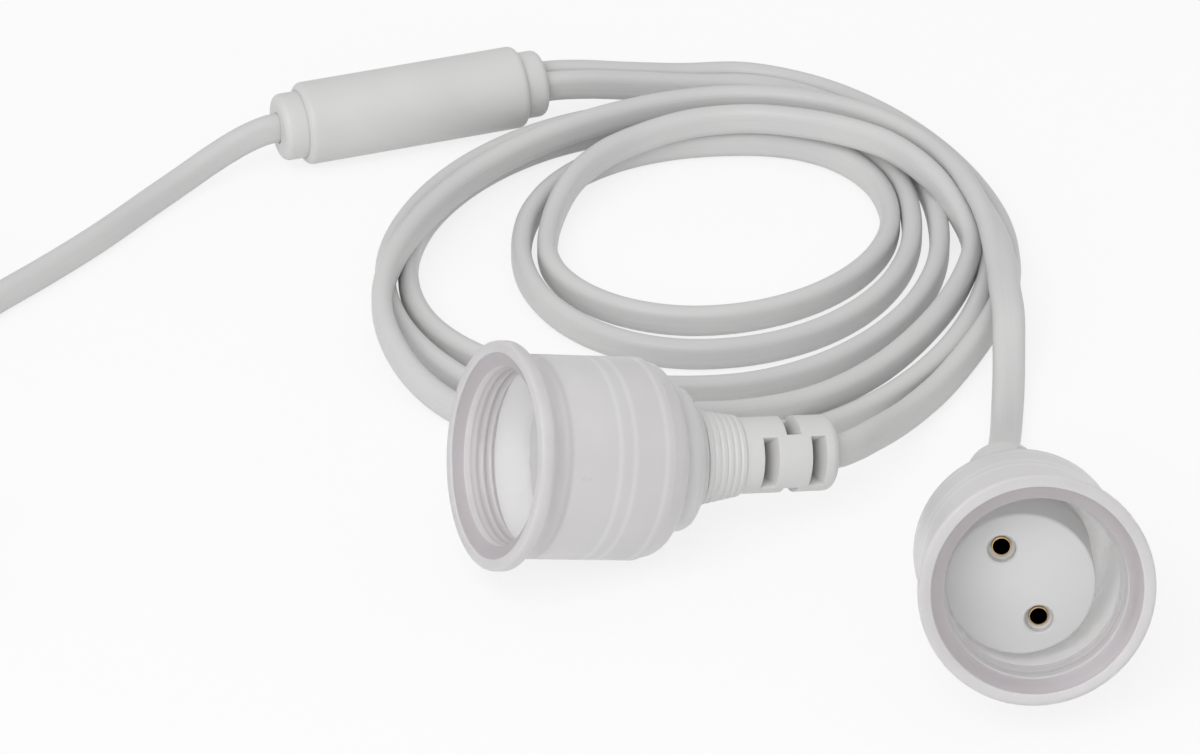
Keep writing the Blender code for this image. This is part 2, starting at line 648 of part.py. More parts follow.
def plug():
    """A flat two-pin plug lying on its side beside the coil."""
    place = placed((*PLUG_BACK, PLUG_THICKNESS / 2), 0.0)
    stations = ((0.0, PLUG_NECK_WIDTH, PLUG_NECK_THICKNESS), (0.12, 12.0, 9.0),
                (0.34, 17.0, 12.4), (0.56, 27.0, PLUG_THICKNESS), (0.74, 33.8, PLUG_THICKNESS),
                (0.86, PLUG_WIDTH, PLUG_THICKNESS), (1.0, PLUG_WIDTH, PLUG_THICKNESS))
    bm = bmesh.new()
    loops = []
    for share, width, thick in stations:
        section = superellipse(width, thick)
        loops.append([bm.verts.new((share * PLUG_LENGTH, *p)) for p in section])
    for loop, after in zip(loops, loops[1:]):
        for index in range(len(loop)):
            other = (index + 1) % len(loop)
            bm.faces.new((loop[index], loop[other], after[other], after[index]))
    bm.faces.new(loops[0])
    bm.faces.new(loops[-1])
    body = add("plug_body", bm, "white_moulding", place)
    tools = bmesh.new()
    for number, side in enumerate((-1, 1), start=1):
        middle = (side * PLUG_PIN_SPACING / 2, 0.0)
        start = PLUG_LENGTH - PLUG_PIN_SEAT
        reach = PLUG_PIN_RADIUS + CLEARANCE
        spin(tools, [(start - CLEARANCE, 0.0), (start - CLEARANCE, reach),
                     (PLUG_LENGTH + 1, reach), (PLUG_LENGTH + 1, 0.0)], False, FINE_SEGMENTS, middle)
        bm = bmesh.new()
        spin(bm, rounded([(start, 0.0), (start, PLUG_PIN_RADIUS),
                          (PLUG_LENGTH + PLUG_PIN_REACH, PLUG_PIN_RADIUS, 1.6),
                          (PLUG_LENGTH + PLUG_PIN_REACH, 0.0)]), False, FINE_SEGMENTS, middle)
        add(f"plug_pin_{number}", bm, "bright_pin", place)
    cut(body, "plug_bores", tools, place)


def build():
    for obj in list(bpy.data.objects):
        bpy.data.objects.remove(obj, do_unlink=True)
    for key, holder in HOLDERS.items():
        lampholder(key, holder)
    junction()
    cord("supply_lead", SUPPLY_ROUTE)
    stored_coil()
    cord("supply_end", SUPPLY_END_ROUTE)
    plug()
    cord("lead_a", LEAD_A_ROUTE, LEAD_A_TURN)
    cord("lead_b_start", LEAD_B_START_ROUTE)
    loose_coil()
    cord("lead_b_end", LEAD_B_END_ROUTE, LEAD_B_END_TURN)


build()
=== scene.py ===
"""Two sealed lampholders for a two-pin fluorescent tube, with leads, in-line junction and plug.

The set lies on a pale floor. Sizes are in millimetres and become metres where a piece is made.
"""

import logging
import math
from dataclasses import dataclass, field
from enum import Enum
from typing import Callable, Mapping, Sequence

import bmesh
import bpy
from mathutils import Matrix, Vector


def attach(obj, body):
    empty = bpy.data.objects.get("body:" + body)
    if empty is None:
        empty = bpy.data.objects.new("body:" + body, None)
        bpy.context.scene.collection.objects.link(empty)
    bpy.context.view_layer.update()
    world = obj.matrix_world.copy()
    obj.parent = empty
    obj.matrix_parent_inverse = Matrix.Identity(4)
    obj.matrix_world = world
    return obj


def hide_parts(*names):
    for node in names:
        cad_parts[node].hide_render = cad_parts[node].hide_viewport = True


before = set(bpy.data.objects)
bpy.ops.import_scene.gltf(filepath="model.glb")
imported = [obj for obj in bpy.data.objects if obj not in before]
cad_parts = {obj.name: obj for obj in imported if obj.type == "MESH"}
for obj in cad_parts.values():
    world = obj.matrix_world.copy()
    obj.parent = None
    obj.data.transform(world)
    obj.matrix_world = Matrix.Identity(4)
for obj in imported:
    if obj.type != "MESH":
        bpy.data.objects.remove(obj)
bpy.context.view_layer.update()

MM = 0.001
SET_CENTRE = (12.68, -5.78)
COIL_CENTRE = (-144.9, 18.3)
LEAD_WIDTH = 5.4
LEAD_THICKNESS = 3.4
PIN_SPACING = 12.7
PIVOT_STATION = 27.0
PAINTED_SHADE_MARK = "painted_shade"
PAINTED_LIGHT_MARK = "glow"
SLOT_SHADE_MARK = "slot_shade_depth"
BORE_SHADE_MARK = "bore"
LOG = logging.getLogger("lampholder_set")

Point = tuple[float, float, float]
Station = tuple[float, ...]


def table_point(x: float, y: float, z: float = 0.0) -> Vector:
    """A point of the table's own frame in millimetres, as metres from the set's centre."""
    return Vector((x - SET_CENTRE[0], y - SET_CENTRE[1], z)) * MM


def ease(share: float) -> float:
    """A smooth step from 0 to 1."""
    share = min(max(share, 0.0), 1.0)
    return share * share * (3.0 - 2.0 * share)


class Value:
    """A shader socket whose maths is written as Python expressions."""

    def __init__(self, graph: "Graph", socket: bpy.types.NodeSocket) -> None:
        """Keeps the socket and the graph that it belongs to."""
        self.graph = graph
        self.socket = socket

    def joined(self, operation: str, first: "Value | float", second: "Value | float") -> "Value":
        """Adds a Math node for two operands."""
        return self.graph.node("ShaderNodeMath", {"operation": operation},
                               {0: first, 1: second})["Value"]

    def __add__(self, other: "Value | float") -> "Value":
        """The sum with another value."""
        return self.joined("ADD", self, other)

    def __mul__(self, other: "Value | float") -> "Value":
        """The product with another value."""
        return self.joined("MULTIPLY", self, other)

    def above(self, low: float, high: float) -> "Value":
        """A smooth mask that is 0 below low and 1 above high."""
        return self.graph.node("ShaderNodeMapRange", {"interpolation_type": "SMOOTHSTEP"},
                               {"Value": self, "From Min": low, "From Max": high})["Result"]


class Graph:
    """The node graph of one material."""

    def __init__(self, name: str) -> None:
        """Makes the material and keeps its shader."""
        self.material = bpy.data.materials.new(name)
        self.material.use_nodes = True
        self.tree = self.material.node_tree
        self.shader = self.tree.nodes["Principled BSDF"]

    def node(self, kind: str, settings: Mapping[str, object] | None = None,
             inputs: Mapping[str | int, object] | None = None) -> dict[str, Value]:
        """Adds a node.

        Args:
            kind: The node's type.
            settings: Its own settings, which are set first.
            inputs: Values or links of its sockets, by name or number.

        Returns:
            Its outputs by name.
        """
        made = self.tree.nodes.new(kind)
        for key, value in (settings or {}).items():
            setattr(made, key, value)
        for key, value in (inputs or {}).items():
            if isinstance(key, int):
                socket = made.inputs[key]
            else:
                socket = next(s for s in made.inputs if s.enabled and s.name == key)
            self.feed(socket, value)
        return {s.name: Value(self, s) for s in made.outputs if s.enabled}

    def feed(self, socket: bpy.types.NodeSocket, value: object) -> None:
        """Links a value to a socket, or sets it there."""
        if isinstance(value, Value):
            self.tree.links.new(value.socket, socket)
        else:
            socket.default_value = value

    def shade(self, **inputs: object) -> None:
        """Feeds the shader's own sockets, named with underscores for spaces."""
        for key, value in inputs.items():
            self.feed(self.shader.inputs[key.replace("_", " ")], value)

    def noise(self, vector: Value, scale: float, detail: float = 3.0) -> Value:
        """Soft noise from 0 to 1 over a vector."""
        return self.node("ShaderNodeTexNoise", {},
                         {"Vector": vector, "Scale": scale, "Detail": detail})["Fac"]

    def place(self, scale: Point = (1.0, 1.0, 1.0), follows: str = "Object") -> Value:
        """Object coordinates, or the piece's own UV map, scaled."""
        source = self.node("ShaderNodeTexCoord")[follows]
        return self.node("ShaderNodeMapping", {}, {"Vector": source, "Scale": scale})["Vector"]

    def mark(self, name: str) -> Value:
        """How far a point of the piece is marked."""
        return self.node("ShaderNodeAttribute", {"attribute_name": name})["Fac"]

    def blend(self, factor: Value, first: Point | Value, second: Point) -> Value:
        """A colour between two by a factor."""
        start = first if isinstance(first, Value) else (*first, 1.0)
        return self.node("ShaderNodeMix", {"data_type": "RGBA"},
                         {"Factor": factor, "A": start, "B": (*second, 1.0)})["Result"]

    def bump(self, height: Value, distance: float, strength: float,
             under: Value | None = None) -> Value:
        """A bumped normal from a height."""
        inputs: dict[str | int, object] = {"Height": height, "Distance": distance,
                                           "Strength": strength}
        if under is not None:
            inputs["Normal"] = under
        return self.node("ShaderNodeBump", {}, inputs)["Normal"]


@dataclass(frozen=True)
class Finish:
    """The surface of a piece: two close colours, a roughness and a fine grain."""

    name: str
    colour: Point
    second: Point
    roughness: float

    def material(self) -> bpy.types.Material:
        """The finish as a material, made once."""
        known = bpy.data.materials.get(self.name)
        if known:
            return known
        graph = Graph(self.name)
        self.draw(graph)
        return graph.material

    def draw(self, graph: Graph) -> None:
        """Draws the finish in a graph."""
        graph.shade(Base_Color=(*self.colour, 1.0), Roughness=self.roughness)

    def dress(self, piece: bpy.types.Object) -> None:
        """Gives a piece this finish."""
        if piece.material_slots:
            for slot in piece.material_slots:
                slot.material = self.material()
        else:
            piece.data.materials.append(self.material())


@dataclass(frozen=True)
class Sheath(Finish):
    """Extruded soft sheath of a lead, with faint drawing lines along it."""

    def draw(self, graph: Graph) -> None:
        """Draws mottled colour, drawing lines and a fine grain that follow the lead."""
        along = graph.place((9.0, 0.05, 1.0), "UV")
        streaks = graph.noise(along, 6.0, 2.0)
        patches = graph.noise(graph.place((1.0, 1.0, 1.0)), 34.0, 2.0)
        grain = graph.noise(graph.place(), 2600.0, 2.0)
        tone = (streaks * 0.35 + patches * 0.65).above(0.35, 0.65)
        normal = graph.bump(streaks, 0.00008, 0.35)
        normal = graph.bump(grain, 0.00003, 0.35, normal)
        graph.shade(Base_Color=graph.blend(tone, self.colour, self.second),
                    Roughness=patches * 0.12 + (self.roughness - 0.06), Normal=normal,
                    Specular_IOR_Level=0.42)


@dataclass(frozen=True)
class Satin(Finish):
    """Moulded plastic with a fine spark-eroded grain, with painted shade where it is marked as deep
    in a slot.
    """

    grain: float = 1500.0
    slot_shade_colour: Point = (0.07, 0.06, 0.052)

    def draw(self, graph: Graph) -> None:
        """Draws faint patches of colour, the painted shade of deep slots, flow marks and the grain.
        """
        flow = graph.noise(graph.place((1.0, 1.0, 1.0)), 60.0, 2.0)
        grain = graph.noise(graph.place(), self.grain, 3.0)
        pits = graph.noise(graph.place(), self.grain * 0.4, 1.0).above(0.45, 0.7)
        normal = graph.bump(grain * 0.7 + pits * 0.3, 0.00004, 0.4)
        normal = graph.bump(flow, 0.0003, 0.12, normal)
        body = graph.blend(flow.above(0.3, 0.7), self.colour, self.second)
        # Painted shade: points marked as deep in a slot are darkened towards a near-black colour
        body = graph.blend(graph.mark(SLOT_SHADE_MARK), body, self.slot_shade_colour)
        graph.shade(Base_Color=body,
                    Roughness=grain * 0.14 + (self.roughness - 0.07), Normal=normal,
                    Specular_IOR_Level=0.45)


@dataclass(frozen=True)
class Frosted(Finish):
    """Soft translucent rubber: milky, with painted shade on its chamfer, seal grooves and rings,
    and painted light with a faint painted glow where it is marked.
    """

    painted_shade: Point
    pale: Point
    painted_glow: Point
    clearness: float = 0.35
    bending: float = 1.42
    milkiness: float = 1.0
    glow_depth: float = 0.0035

    def draw(self, graph: Graph) -> None:
        """Draws milky clouds, flow marks, the painted shade, the painted light and painted glow,
        and a frosted grain.
        """
        clouds = graph.noise(graph.place(), 90.0, 3.0)
        flow = graph.noise(graph.place(), 40.0, 2.0)
        grain = graph.noise(graph.place(), 1800.0, 2.0)
        painted_shade = graph.mark(PAINTED_SHADE_MARK)
        glow = graph.mark(PAINTED_LIGHT_MARK)
        normal = graph.bump(flow, 0.0003, 0.12)
        normal = graph.bump(grain, 0.00003, 0.35, normal)
        body = graph.blend(clouds.above(0.3, 0.7), self.colour, self.second)
        # Painted shade where the cap is marked for it, then painted light where it is marked to
        # glow
        body = graph.blend(glow, graph.blend(painted_shade, body, self.painted_shade), self.pale)
        # Painted glow: a faint emission where the cap is marked to glow
        graph.shade(Base_Color=body, Emission_Strength=1.0,
                    Emission_Color=graph.blend(glow, (0.0, 0.0, 0.0), self.painted_glow),
                    Roughness=clouds * 0.1 + (self.roughness - 0.05), Normal=normal,
                    Transmission_Weight=self.clearness, IOR=self.bending,
                    Subsurface_Weight=self.milkiness, Subsurface_Radius=(1.0, 1.0, 1.0),
                    Subsurface_Scale=self.glow_depth, Specular_IOR_Level=0.5)


@dataclass(frozen=True)
class Metal(Finish):
    """Turned metal with fine scratches and darker stains, with painted dark shade deep in its
    bores.
    """

    bore: Point = (0.012, 0.009, 0.007)

    def draw(self, graph: Graph) -> None:
        """Draws stains, scratches and the painted shade of the bores."""
        stains = graph.noise(graph.place(), 700.0, 3.0)
        scratches = graph.noise(graph.place((1.0, 1.0, 9.0)), 1600.0, 2.0)
        bright = graph.blend(stains.above(0.45, 0.75), self.colour, self.second)
        # Painted shade: the marked inside of the bore is darkened to near black
        graph.shade(Base_Color=graph.blend(graph.mark(BORE_SHADE_MARK), bright, self.bore),
                    Roughness=scratches * 0.25 + (self.roughness - 0.12), Metallic=1.0,
                    Normal=graph.bump(scratches, 0.00002, 0.3))


class Finishes(Enum):
    """The finishes of the set."""

    SHEATH = Sheath("lead_sheath", (0.60, 0.60, 0.60), (0.64, 0.64, 0.635), 0.42)
    MOULDING = Satin("satin_moulding", (0.64, 0.64, 0.635), (0.67, 0.67, 0.665), 0.46)
    INSERT = Satin("insert_plastic", (0.66, 0.66, 0.66), (0.68, 0.68, 0.68), 0.5)
    # The cap's last three colours are its painted shade, its painted light and the colour of its
    # painted glow
    CAP = Frosted("frosted_cap", (0.765, 0.748, 0.755), (0.80, 0.787, 0.79), 0.30,
                  (0.58, 0.545, 0.565), (0.95, 0.945, 0.945), (0.10, 0.099, 0.098))
    BRASS = Metal("sleeve_brass", (0.80, 0.57, 0.29), (0.42, 0.26, 0.12), 0.3)
    NICKEL = Metal("nickel_pin", (0.70, 0.69, 0.67), (0.55, 0.53, 0.50), 0.26)
    NYLON = Satin("tie_nylon", (0.58, 0.58, 0.57), (0.61, 0.61, 0.60), 0.5, 900.0)


def unselect() -> None:
    """Deselects every object."""
    bpy.ops.object.select_all(action="DESELECT")


def choose(piece: bpy.types.Object) -> None:
    """Makes one piece the only selected and the active one."""
    unselect()
    piece.select_set(True)
    bpy.context.view_layer.objects.active = piece


def rounded(corners: Sequence[Station], fineness: float = 3.0) -> list[tuple[float, float]]:
    """Turns the corners of an outline into arcs.

    Args:
        corners: Corners as (x, radius), or (x, radius, rounding).
        fineness: Steps of an arc for each millimetre of rounding, past the first three.

    Returns:
        The outline's points as (x, radius).
    """
    points: list[tuple[float, float]] = []
    for index, corner in enumerate(corners):
        here = Vector(corner[:2])
        if len(corner) < 3:
            points.append((here.x, here.y))
            continue
        before = (Vector(corners[index - 1][:2]) - here).normalized()
        after = (Vector(corners[(index + 1) % len(corners)][:2]) - here).normalized()
        angle = before.angle(after)
        sweep = math.pi - angle
        reach = corner[2] / math.tan(angle / 2)
        centre = here + (before + after).normalized() * corner[2] / math.sin(angle / 2)
        start = here + before * reach - centre
        end = here + after * reach - centre
        count = 3 + round(corner[2] * fineness)
        for step in range(count + 1):
            share = step / count
            arm = start * math.sin((1 - share) * sweep) + end * math.sin(share * sweep)
            spot = centre + arm / math.sin(sweep)
            points.append((spot.x, spot.y))
    return points


def stepped(stations: Sequence[Station], start: int, sides: int, name: str,
            shape: Callable[[float, float], tuple[float, float]] | None = None) -> bpy.types.Object:
    """Extrudes a ring along X from station to station in edit mode.

    Args:
        stations: Each as (x, radius) or (x, width, height) in millimetres; a first or last radius
            of 0 closes that end, and a last station like the first closes the section.
        start: The number of the station that the first ring is at.
        sides: The sides of the ring.
        name: The piece's name.
        shape: What turns a point of the round ring of radius 1 into the first ring's own shape.

    Returns:
        The piece, in metres and still in object mode.
    """
    x, first = stations[start][0], stations[start][1]
    tall = stations[start][-1]
    unselect()
    bpy.ops.mesh.primitive_circle_add(vertices=sides, radius=1.0,
                                      fill_type="NGON" if start else "NOTHING",
                                      location=(x * MM, 0.0, 0.0), rotation=(0.0, math.pi / 2, 0.0))
    piece = bpy.context.object
    piece.name = name
    bpy.ops.object.transform_apply(location=False, rotation=True, scale=True)
    for vertex in piece.data.vertices:
        y, z = shape(vertex.co.y, vertex.co.z) if shape else (vertex.co.y, vertex.co.z)
        vertex.co = (0.0, y * first * MM, z * tall * MM)
    bpy.ops.object.mode_set(mode="EDIT")
    bpy.ops.mesh.select_mode(type="EDGE")
    bpy.ops.mesh.select_all(action="SELECT")
    wide, high = first, tall
    for station in stations[start + 1:]:
        across, up = station[1], station[-1]
        bpy.ops.mesh.extrude_edges_move(
            TRANSFORM_OT_translate={"value": ((station[0] - x) * MM, 0.0, 0.0)})
        if across == 0.0:
            bpy.ops.mesh.merge(type="CENTER")
            break
        if (across, up) != (wide, high):
            bpy.ops.transform.resize(value=(1.0, across / wide, up / high), orient_type="GLOBAL",
                                     center_override=(station[0] * MM, 0.0, 0.0))
        x, wide, high = station[0], across, up
    bpy.ops.mesh.select_all(action="SELECT")
    bpy.ops.mesh.remove_doubles(threshold=1e-6)
    bpy.ops.mesh.normals_make_consistent(inside=False)
    bpy.ops.object.mode_set(mode="OBJECT")
    bpy.ops.object.transform_apply(location=True, rotation=True, scale=True)
    return piece


def turned(name: str, outline: Sequence[tuple[float, float]], sides: int = 96,
           closed: bool = False) -> bpy.types.Object:
    """A round piece about X from its outline.

    Args:
        name: The piece's name.
        outline: Points as (x, radius); it starts and ends on the axis unless it is closed.
        sides: Sides of the round.
        closed: Whether the outline is a closed section clear of the axis.
    """
    stations = [*outline, outline[0]] if closed else list(outline)
    return stepped(stations, 0 if closed else 1, sides, name)


def sector_cutter(start: float, end: float, inner: float, outer: float, middle: float,
                  arc: float, rise: float = 0.0) -> bpy.types.Object:
    """A curved block about X, made by spinning a plane.

    Args:
        start: Its start along X.
        end: Its end along X.
        inner: Its inner radius.
        outer: Its outer radius.
        middle: The angle of its middle, in degrees from Y towards Z.
        arc: Its width in degrees.
        rise: How far its inner side rises towards its end.
    """
    unselect()
    bpy.ops.mesh.primitive_plane_add(size=1.0)
    cutter = bpy.context.object
    bpy.ops.object.mode_set(mode="EDIT")
    bpy.ops.mesh.select_all(action="SELECT")
    bpy.ops.transform.resize(value=((end - start) * MM, (outer - inner) * MM, 1.0))
    bpy.ops.transform.translate(value=((start + end) / 2 * MM, (inner + outer) / 2 * MM, 0.0))
    bpy.ops.object.mode_set(mode="OBJECT")
    for vertex in cutter.data.vertices:
        if vertex.co.x > (start + end) / 2 * MM and vertex.co.y < (inner + outer) / 2 * MM:
            vertex.co.y += rise * MM
    bpy.ops.object.mode_set(mode="EDIT")
    bpy.ops.mesh.spin(steps=16, angle=math.radians(arc), center=(0, 0, 0), axis=(1, 0, 0))
    bpy.ops.mesh.select_all(action="SELECT")
    bpy.ops.mesh.remove_doubles(threshold=1e-7)
    bpy.ops.mesh.normals_make_consistent(inside=False)
    bpy.ops.object.mode_set(mode="OBJECT")
    # The spin may run either way, so the block is turned by where its middle really is
    centre = sum((v.co for v in cutter.data.vertices), Vector()) / len(cutter.data.vertices)
    now = math.atan2(centre.z, centre.y)
    cutter.data.transform(Matrix.Rotation(math.radians(middle) - now, 4, "X"))
    return cutter


def rod(start: float, end: float, radius: float, sides: int = 32) -> bpy.types.Object:
    """A plain cylinder about X from start to end."""
    return turned("rod", [(start, 0.0), (start, radius), (end, radius), (end, 0.0)], sides)


def shift(piece: bpy.types.Object, across: float) -> bpy.types.Object:
    """Moves a piece that was made about X to the side, along Y."""
    piece.data.transform(Matrix.Translation((0, across * MM, 0)))
    return piece


def block(name: str, size: Point, middle: float = 0.0) -> bpy.types.Object:
    """A box about X.

    Args:
        name: Its name.
        size: Its sizes along X, Y and Z.
        middle: The place of its middle along X.
    """
    unselect()
    bpy.ops.mesh.primitive_cube_add(size=1.0, location=(middle * MM, 0.0, 0.0))
    piece = bpy.context.object
    piece.name = name
    piece.scale = [length * MM for length in size]
    bpy.ops.object.transform_apply(location=True, rotation=True, scale=True)
    return piece


def slot_cutter(start: float, end: float, across: float, tall: float) -> bpy.types.Object:
    """A block along X with fully rounded sides, for the way in of a lead.

    Args:
        start: Its start along X.
        end: Its end along X.
        across: Its size along Y.
        tall: Its size along Z.
    """
    cutter = block("slot", (end - start, across, tall), (start + end) / 2)
    bevel = cutter.modifiers.new("round", "BEVEL")
    bevel.width = (min(across, tall) / 2 - 0.02) * MM
    bevel.segments = 10
    bevel.limit_method = "WEIGHT"
    weights = cutter.data.attributes.new("bevel_weight_edge", "FLOAT", "EDGE")
    for edge in cutter.data.edges:
        a, b = (cutter.data.vertices[i].co for i in edge.vertices)
        weights.data[edge.index].value = float(abs(a.x - b.x) > 1e-6)
    bpy.ops.object.modifier_apply(modifier="round")
    return cutter


def subtract(piece: bpy.types.Object, cutters: Sequence[bpy.types.Object]) -> None:
    """Takes cutters out of a piece and removes them."""
    for cutter in cutters:
        choose(piece)
        modifier = piece.modifiers.new("cut", "BOOLEAN")
        modifier.operation = "DIFFERENCE"
        modifier.solver = "EXACT"
        modifier.object = cutter
        bpy.ops.object.modifier_apply(modifier="cut")
        bpy.data.objects.remove(cutter, do_unlink=True)


def mark(piece: bpy.types.Object, name: str, within: Callable[[float, float], float]) -> None:
    """Marks points of a piece, for a finish that changes there.

    Args:
        piece: The piece, made about the origin along X.
        name: The mark.
        within: Tells how far a point is marked, from its station and radius in millimetres.
    """
    marks = piece.data.attributes.new(name, "FLOAT", "POINT")
    for vertex, value in zip(piece.data.vertices, marks.data):
        spot = vertex.co / MM
        value.value = within(spot.x, math.hypot(spot.y, spot.z))


def soften(piece: bpy.types.Object, width: float, segments: int = 2, angle: float = 50.0) -> None:
    """Rounds the sharp edges of a piece.

    Args:
        piece: The piece.
        width: The rounding in millimetres.
        segments: Steps of each rounding.
        angle: The angle past which an edge is sharp, in degrees.
    """
    choose(piece)
    bevel = piece.modifiers.new("soft", "BEVEL")
    bevel.width = width * MM
    bevel.segments = segments
    bevel.limit_method = "ANGLE"
    bevel.angle_limit = math.radians(angle)
    bevel.use_clamp_overlap = True
    bpy.ops.object.modifier_apply(modifier="soft")


def settle(piece: bpy.types.Object, place: Matrix, finish: Finishes, slot: str,
           *nodes: str, angle: float = 32.0) -> bpy.types.Object:
    """Puts a finished piece in its place on the set.

    Args:
        piece: The piece, made about the origin.
        place: Its place.
        finish: Its finish.
        slot: The record's material slot; it is not used.
        *nodes: The CAD nodes that it stands for.
        angle: The angle past which its edges stay sharp, in degrees.

    Returns:
        The piece.
    """
    choose(piece)
    bpy.ops.object.shade_smooth_by_angle(angle=math.radians(angle))
    piece.data.transform(place)
    finish.value.dress(piece)
    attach(piece, "root")
    if nodes:
        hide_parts(*nodes)
    LOG.info("%s: %d faces", piece.name, len(piece.data.polygons))
    return piece


@dataclass
class SealCap:
    """The soft translucent cap: flared lip, seal lips in its bore, shoulder, collar and neck."""

    lip_radius: float = 17.8
    lip_thickness: float = 2.0
    face_inner_radius: float = 16.0
    step_depth: float = 0.4
    step_radius: float = 15.9
    chamfer_depth: float = 1.4
    guide_end: float = 2.4
    flare_length: float = 3.0
    cup_radius: float = 15.85
    cup_wall: float = 1.55
    cup_length: float = 23.6
    shoulder_depth: float = 4.6
    collar_radius: float = 11.6
    collar_end: float = 33.4
    length: float = 34.1
    neck_wall: float = 2.7
    neck_bore_radius: float = 6.9
    neck_end_radius: float = 8.6
    guide_radius: float = 13.9
    seal_stations: Sequence[float] = (3.1, 4.4, 5.7)
    seal_radius: float = 13.0
    seal_taper: float = 0.3
    groove_radius: float = 13.75
    cavity_start: float = 6.9
    cavity_end: float = 23.2
    well_radius: float = 10.0
    well_start: float = 27.4
    lean_full: float = 24.0
    lean_none: float = 33.0
    # Rings of painted shadow and painted light on the cup, over inner forms that would show through
    # the wall, their width, and the strengths of the painted shade and painted light
    shadow_rings: Sequence[float] = (5.9,)
    glow_rings: Sequence[float] = (14.3, 16.8, 22.2)
    ring_width: float = 0.65
    shadow_tone: float = 0.4
    groove_shade: float = 0.6
    ring_glow: float = 0.3
    collar_glow: float = 0.35

    def painted_shade_tone(self, station: float, radius: float) -> float:
        """How deep the painted shade is: on the chamfer, in the seal grooves and as a shadow ring
        over the last seal.
        """
        if self.step_depth - 0.15 < station < self.chamfer_depth + 0.02:
            return float(self.guide_radius < radius < self.face_inner_radius)
        if any(abs(station - ring) < 0.01 for ring in self.shadow_rings):
            return self.shadow_tone * (radius > self.cup_radius - 0.1)
        grooved = self.guide_end < station < self.cavity_start - 0.1
        return self.groove_shade * (grooved and abs(radius - self.groove_radius) < 0.06)

    def painted_light_tone(self, station: float, radius: float) -> float:
        """How strong the painted light and painted glow are: in the cavity, on the collar and over
        the inner forms.
        """
        if any(abs(station - ring) < 0.01 for ring in self.glow_rings):
            return self.ring_glow * (radius > self.cup_radius - 0.1)
        if station > self.cup_length + self.shoulder_depth and radius > self.neck_bore_radius:
            return self.collar_glow
        inside = radius < self.cup_radius - self.cup_wall + 0.05
        return float(inside and self.cavity_start < station < self.well_start)

    def outline(self) -> list[tuple[float, float]]:
        """The section: outside from the mouth to the neck, then back along the inside."""
        cavity = self.cup_radius - self.cup_wall
        floor = self.length - self.neck_wall
        corners: list[Station] = [
            (0.08, self.face_inner_radius, 0.12),
            (0.08, self.lip_radius, 0.45),
            (self.lip_thickness, self.lip_radius, 0.8),
            (self.lip_thickness + self.flare_length * 0.6, self.cup_radius, 2.0),
            # Points for the rings of painted shadow and painted light
            *((ring + step * self.ring_width, self.cup_radius)
              for ring in (*self.shadow_rings, *self.glow_rings) for step in (-1, 0, 1)),
            (self.cup_length, self.cup_radius, 0.3),
            (self.cup_length + 0.25, self.cup_radius - 0.22, 0.2),
            (self.cup_length + self.shoulder_depth * 0.8, self.cup_radius - 1.0, 3.4),
            (self.cup_length + self.shoulder_depth, self.collar_radius, 0.35),
            (self.collar_end - 1.2, self.collar_radius - 0.3, 2.3),
            (self.collar_end, self.neck_end_radius, 0.25),
            (self.length, self.neck_end_radius - 0.5, 0.2),
            (self.length, self.neck_bore_radius),
            (floor, self.neck_bore_radius),
            (floor, self.well_radius, 0.3),
            (self.well_start, self.well_radius, 0.4),
            (self.cavity_end, cavity, 0.6),
            (self.cavity_start, cavity, 0.3),
            (self.cavity_start - 0.4, self.groove_radius, 0.15),
        ]
        for rank, station in enumerate(reversed(self.seal_stations)):
            corners += [
                (station + 0.6, self.groove_radius, 0.12),
                (station, self.seal_radius + rank * self.seal_taper, 0.16),
                (station - 0.6, self.groove_radius, 0.12),
            ]
        corners += [
            (self.guide_end, self.guide_radius - 0.1, 0.15),
            (self.chamfer_depth, self.guide_radius, 0.2),
            (self.step_depth, self.step_radius, 0.1),
        ]
        return rounded(corners, 2.0)

    def build(self, holder: "Holder") -> None:
        """Makes the cap and leans its mouth about the insert.

        Args:
            holder: The holder that it belongs to.
        """
        piece = turned(f"cap_{holder.key}", self.outline(), 128, closed=True)
        # Painted shade on the chamfer, in the seal grooves and as a ring over the last seal
        mark(piece, PAINTED_SHADE_MARK, self.painted_shade_tone)
        # Painted light and painted glow in the cavity, on the collar and as rings over the inner
        # forms
        mark(piece, PAINTED_LIGHT_MARK, self.painted_light_tone)
        for vertex in piece.data.vertices:
            spot = vertex.co / MM
            share = ease((self.lean_none - spot.x) / (self.lean_none - self.lean_full))
            swing = Matrix.Rotation(math.radians(holder.swing) * share, 3, "Z")
            nod = Matrix.Rotation(math.radians(holder.rise) * share, 3, "Y")
            vertex.co = (swing @ nod @ (spot - Vector((PIVOT_STATION, 0, 0)))) * MM
        settle(piece, holder.place(rolled=False), Finishes.CAP, "seal_cap",
               f"seal_cap_{holder.key}")


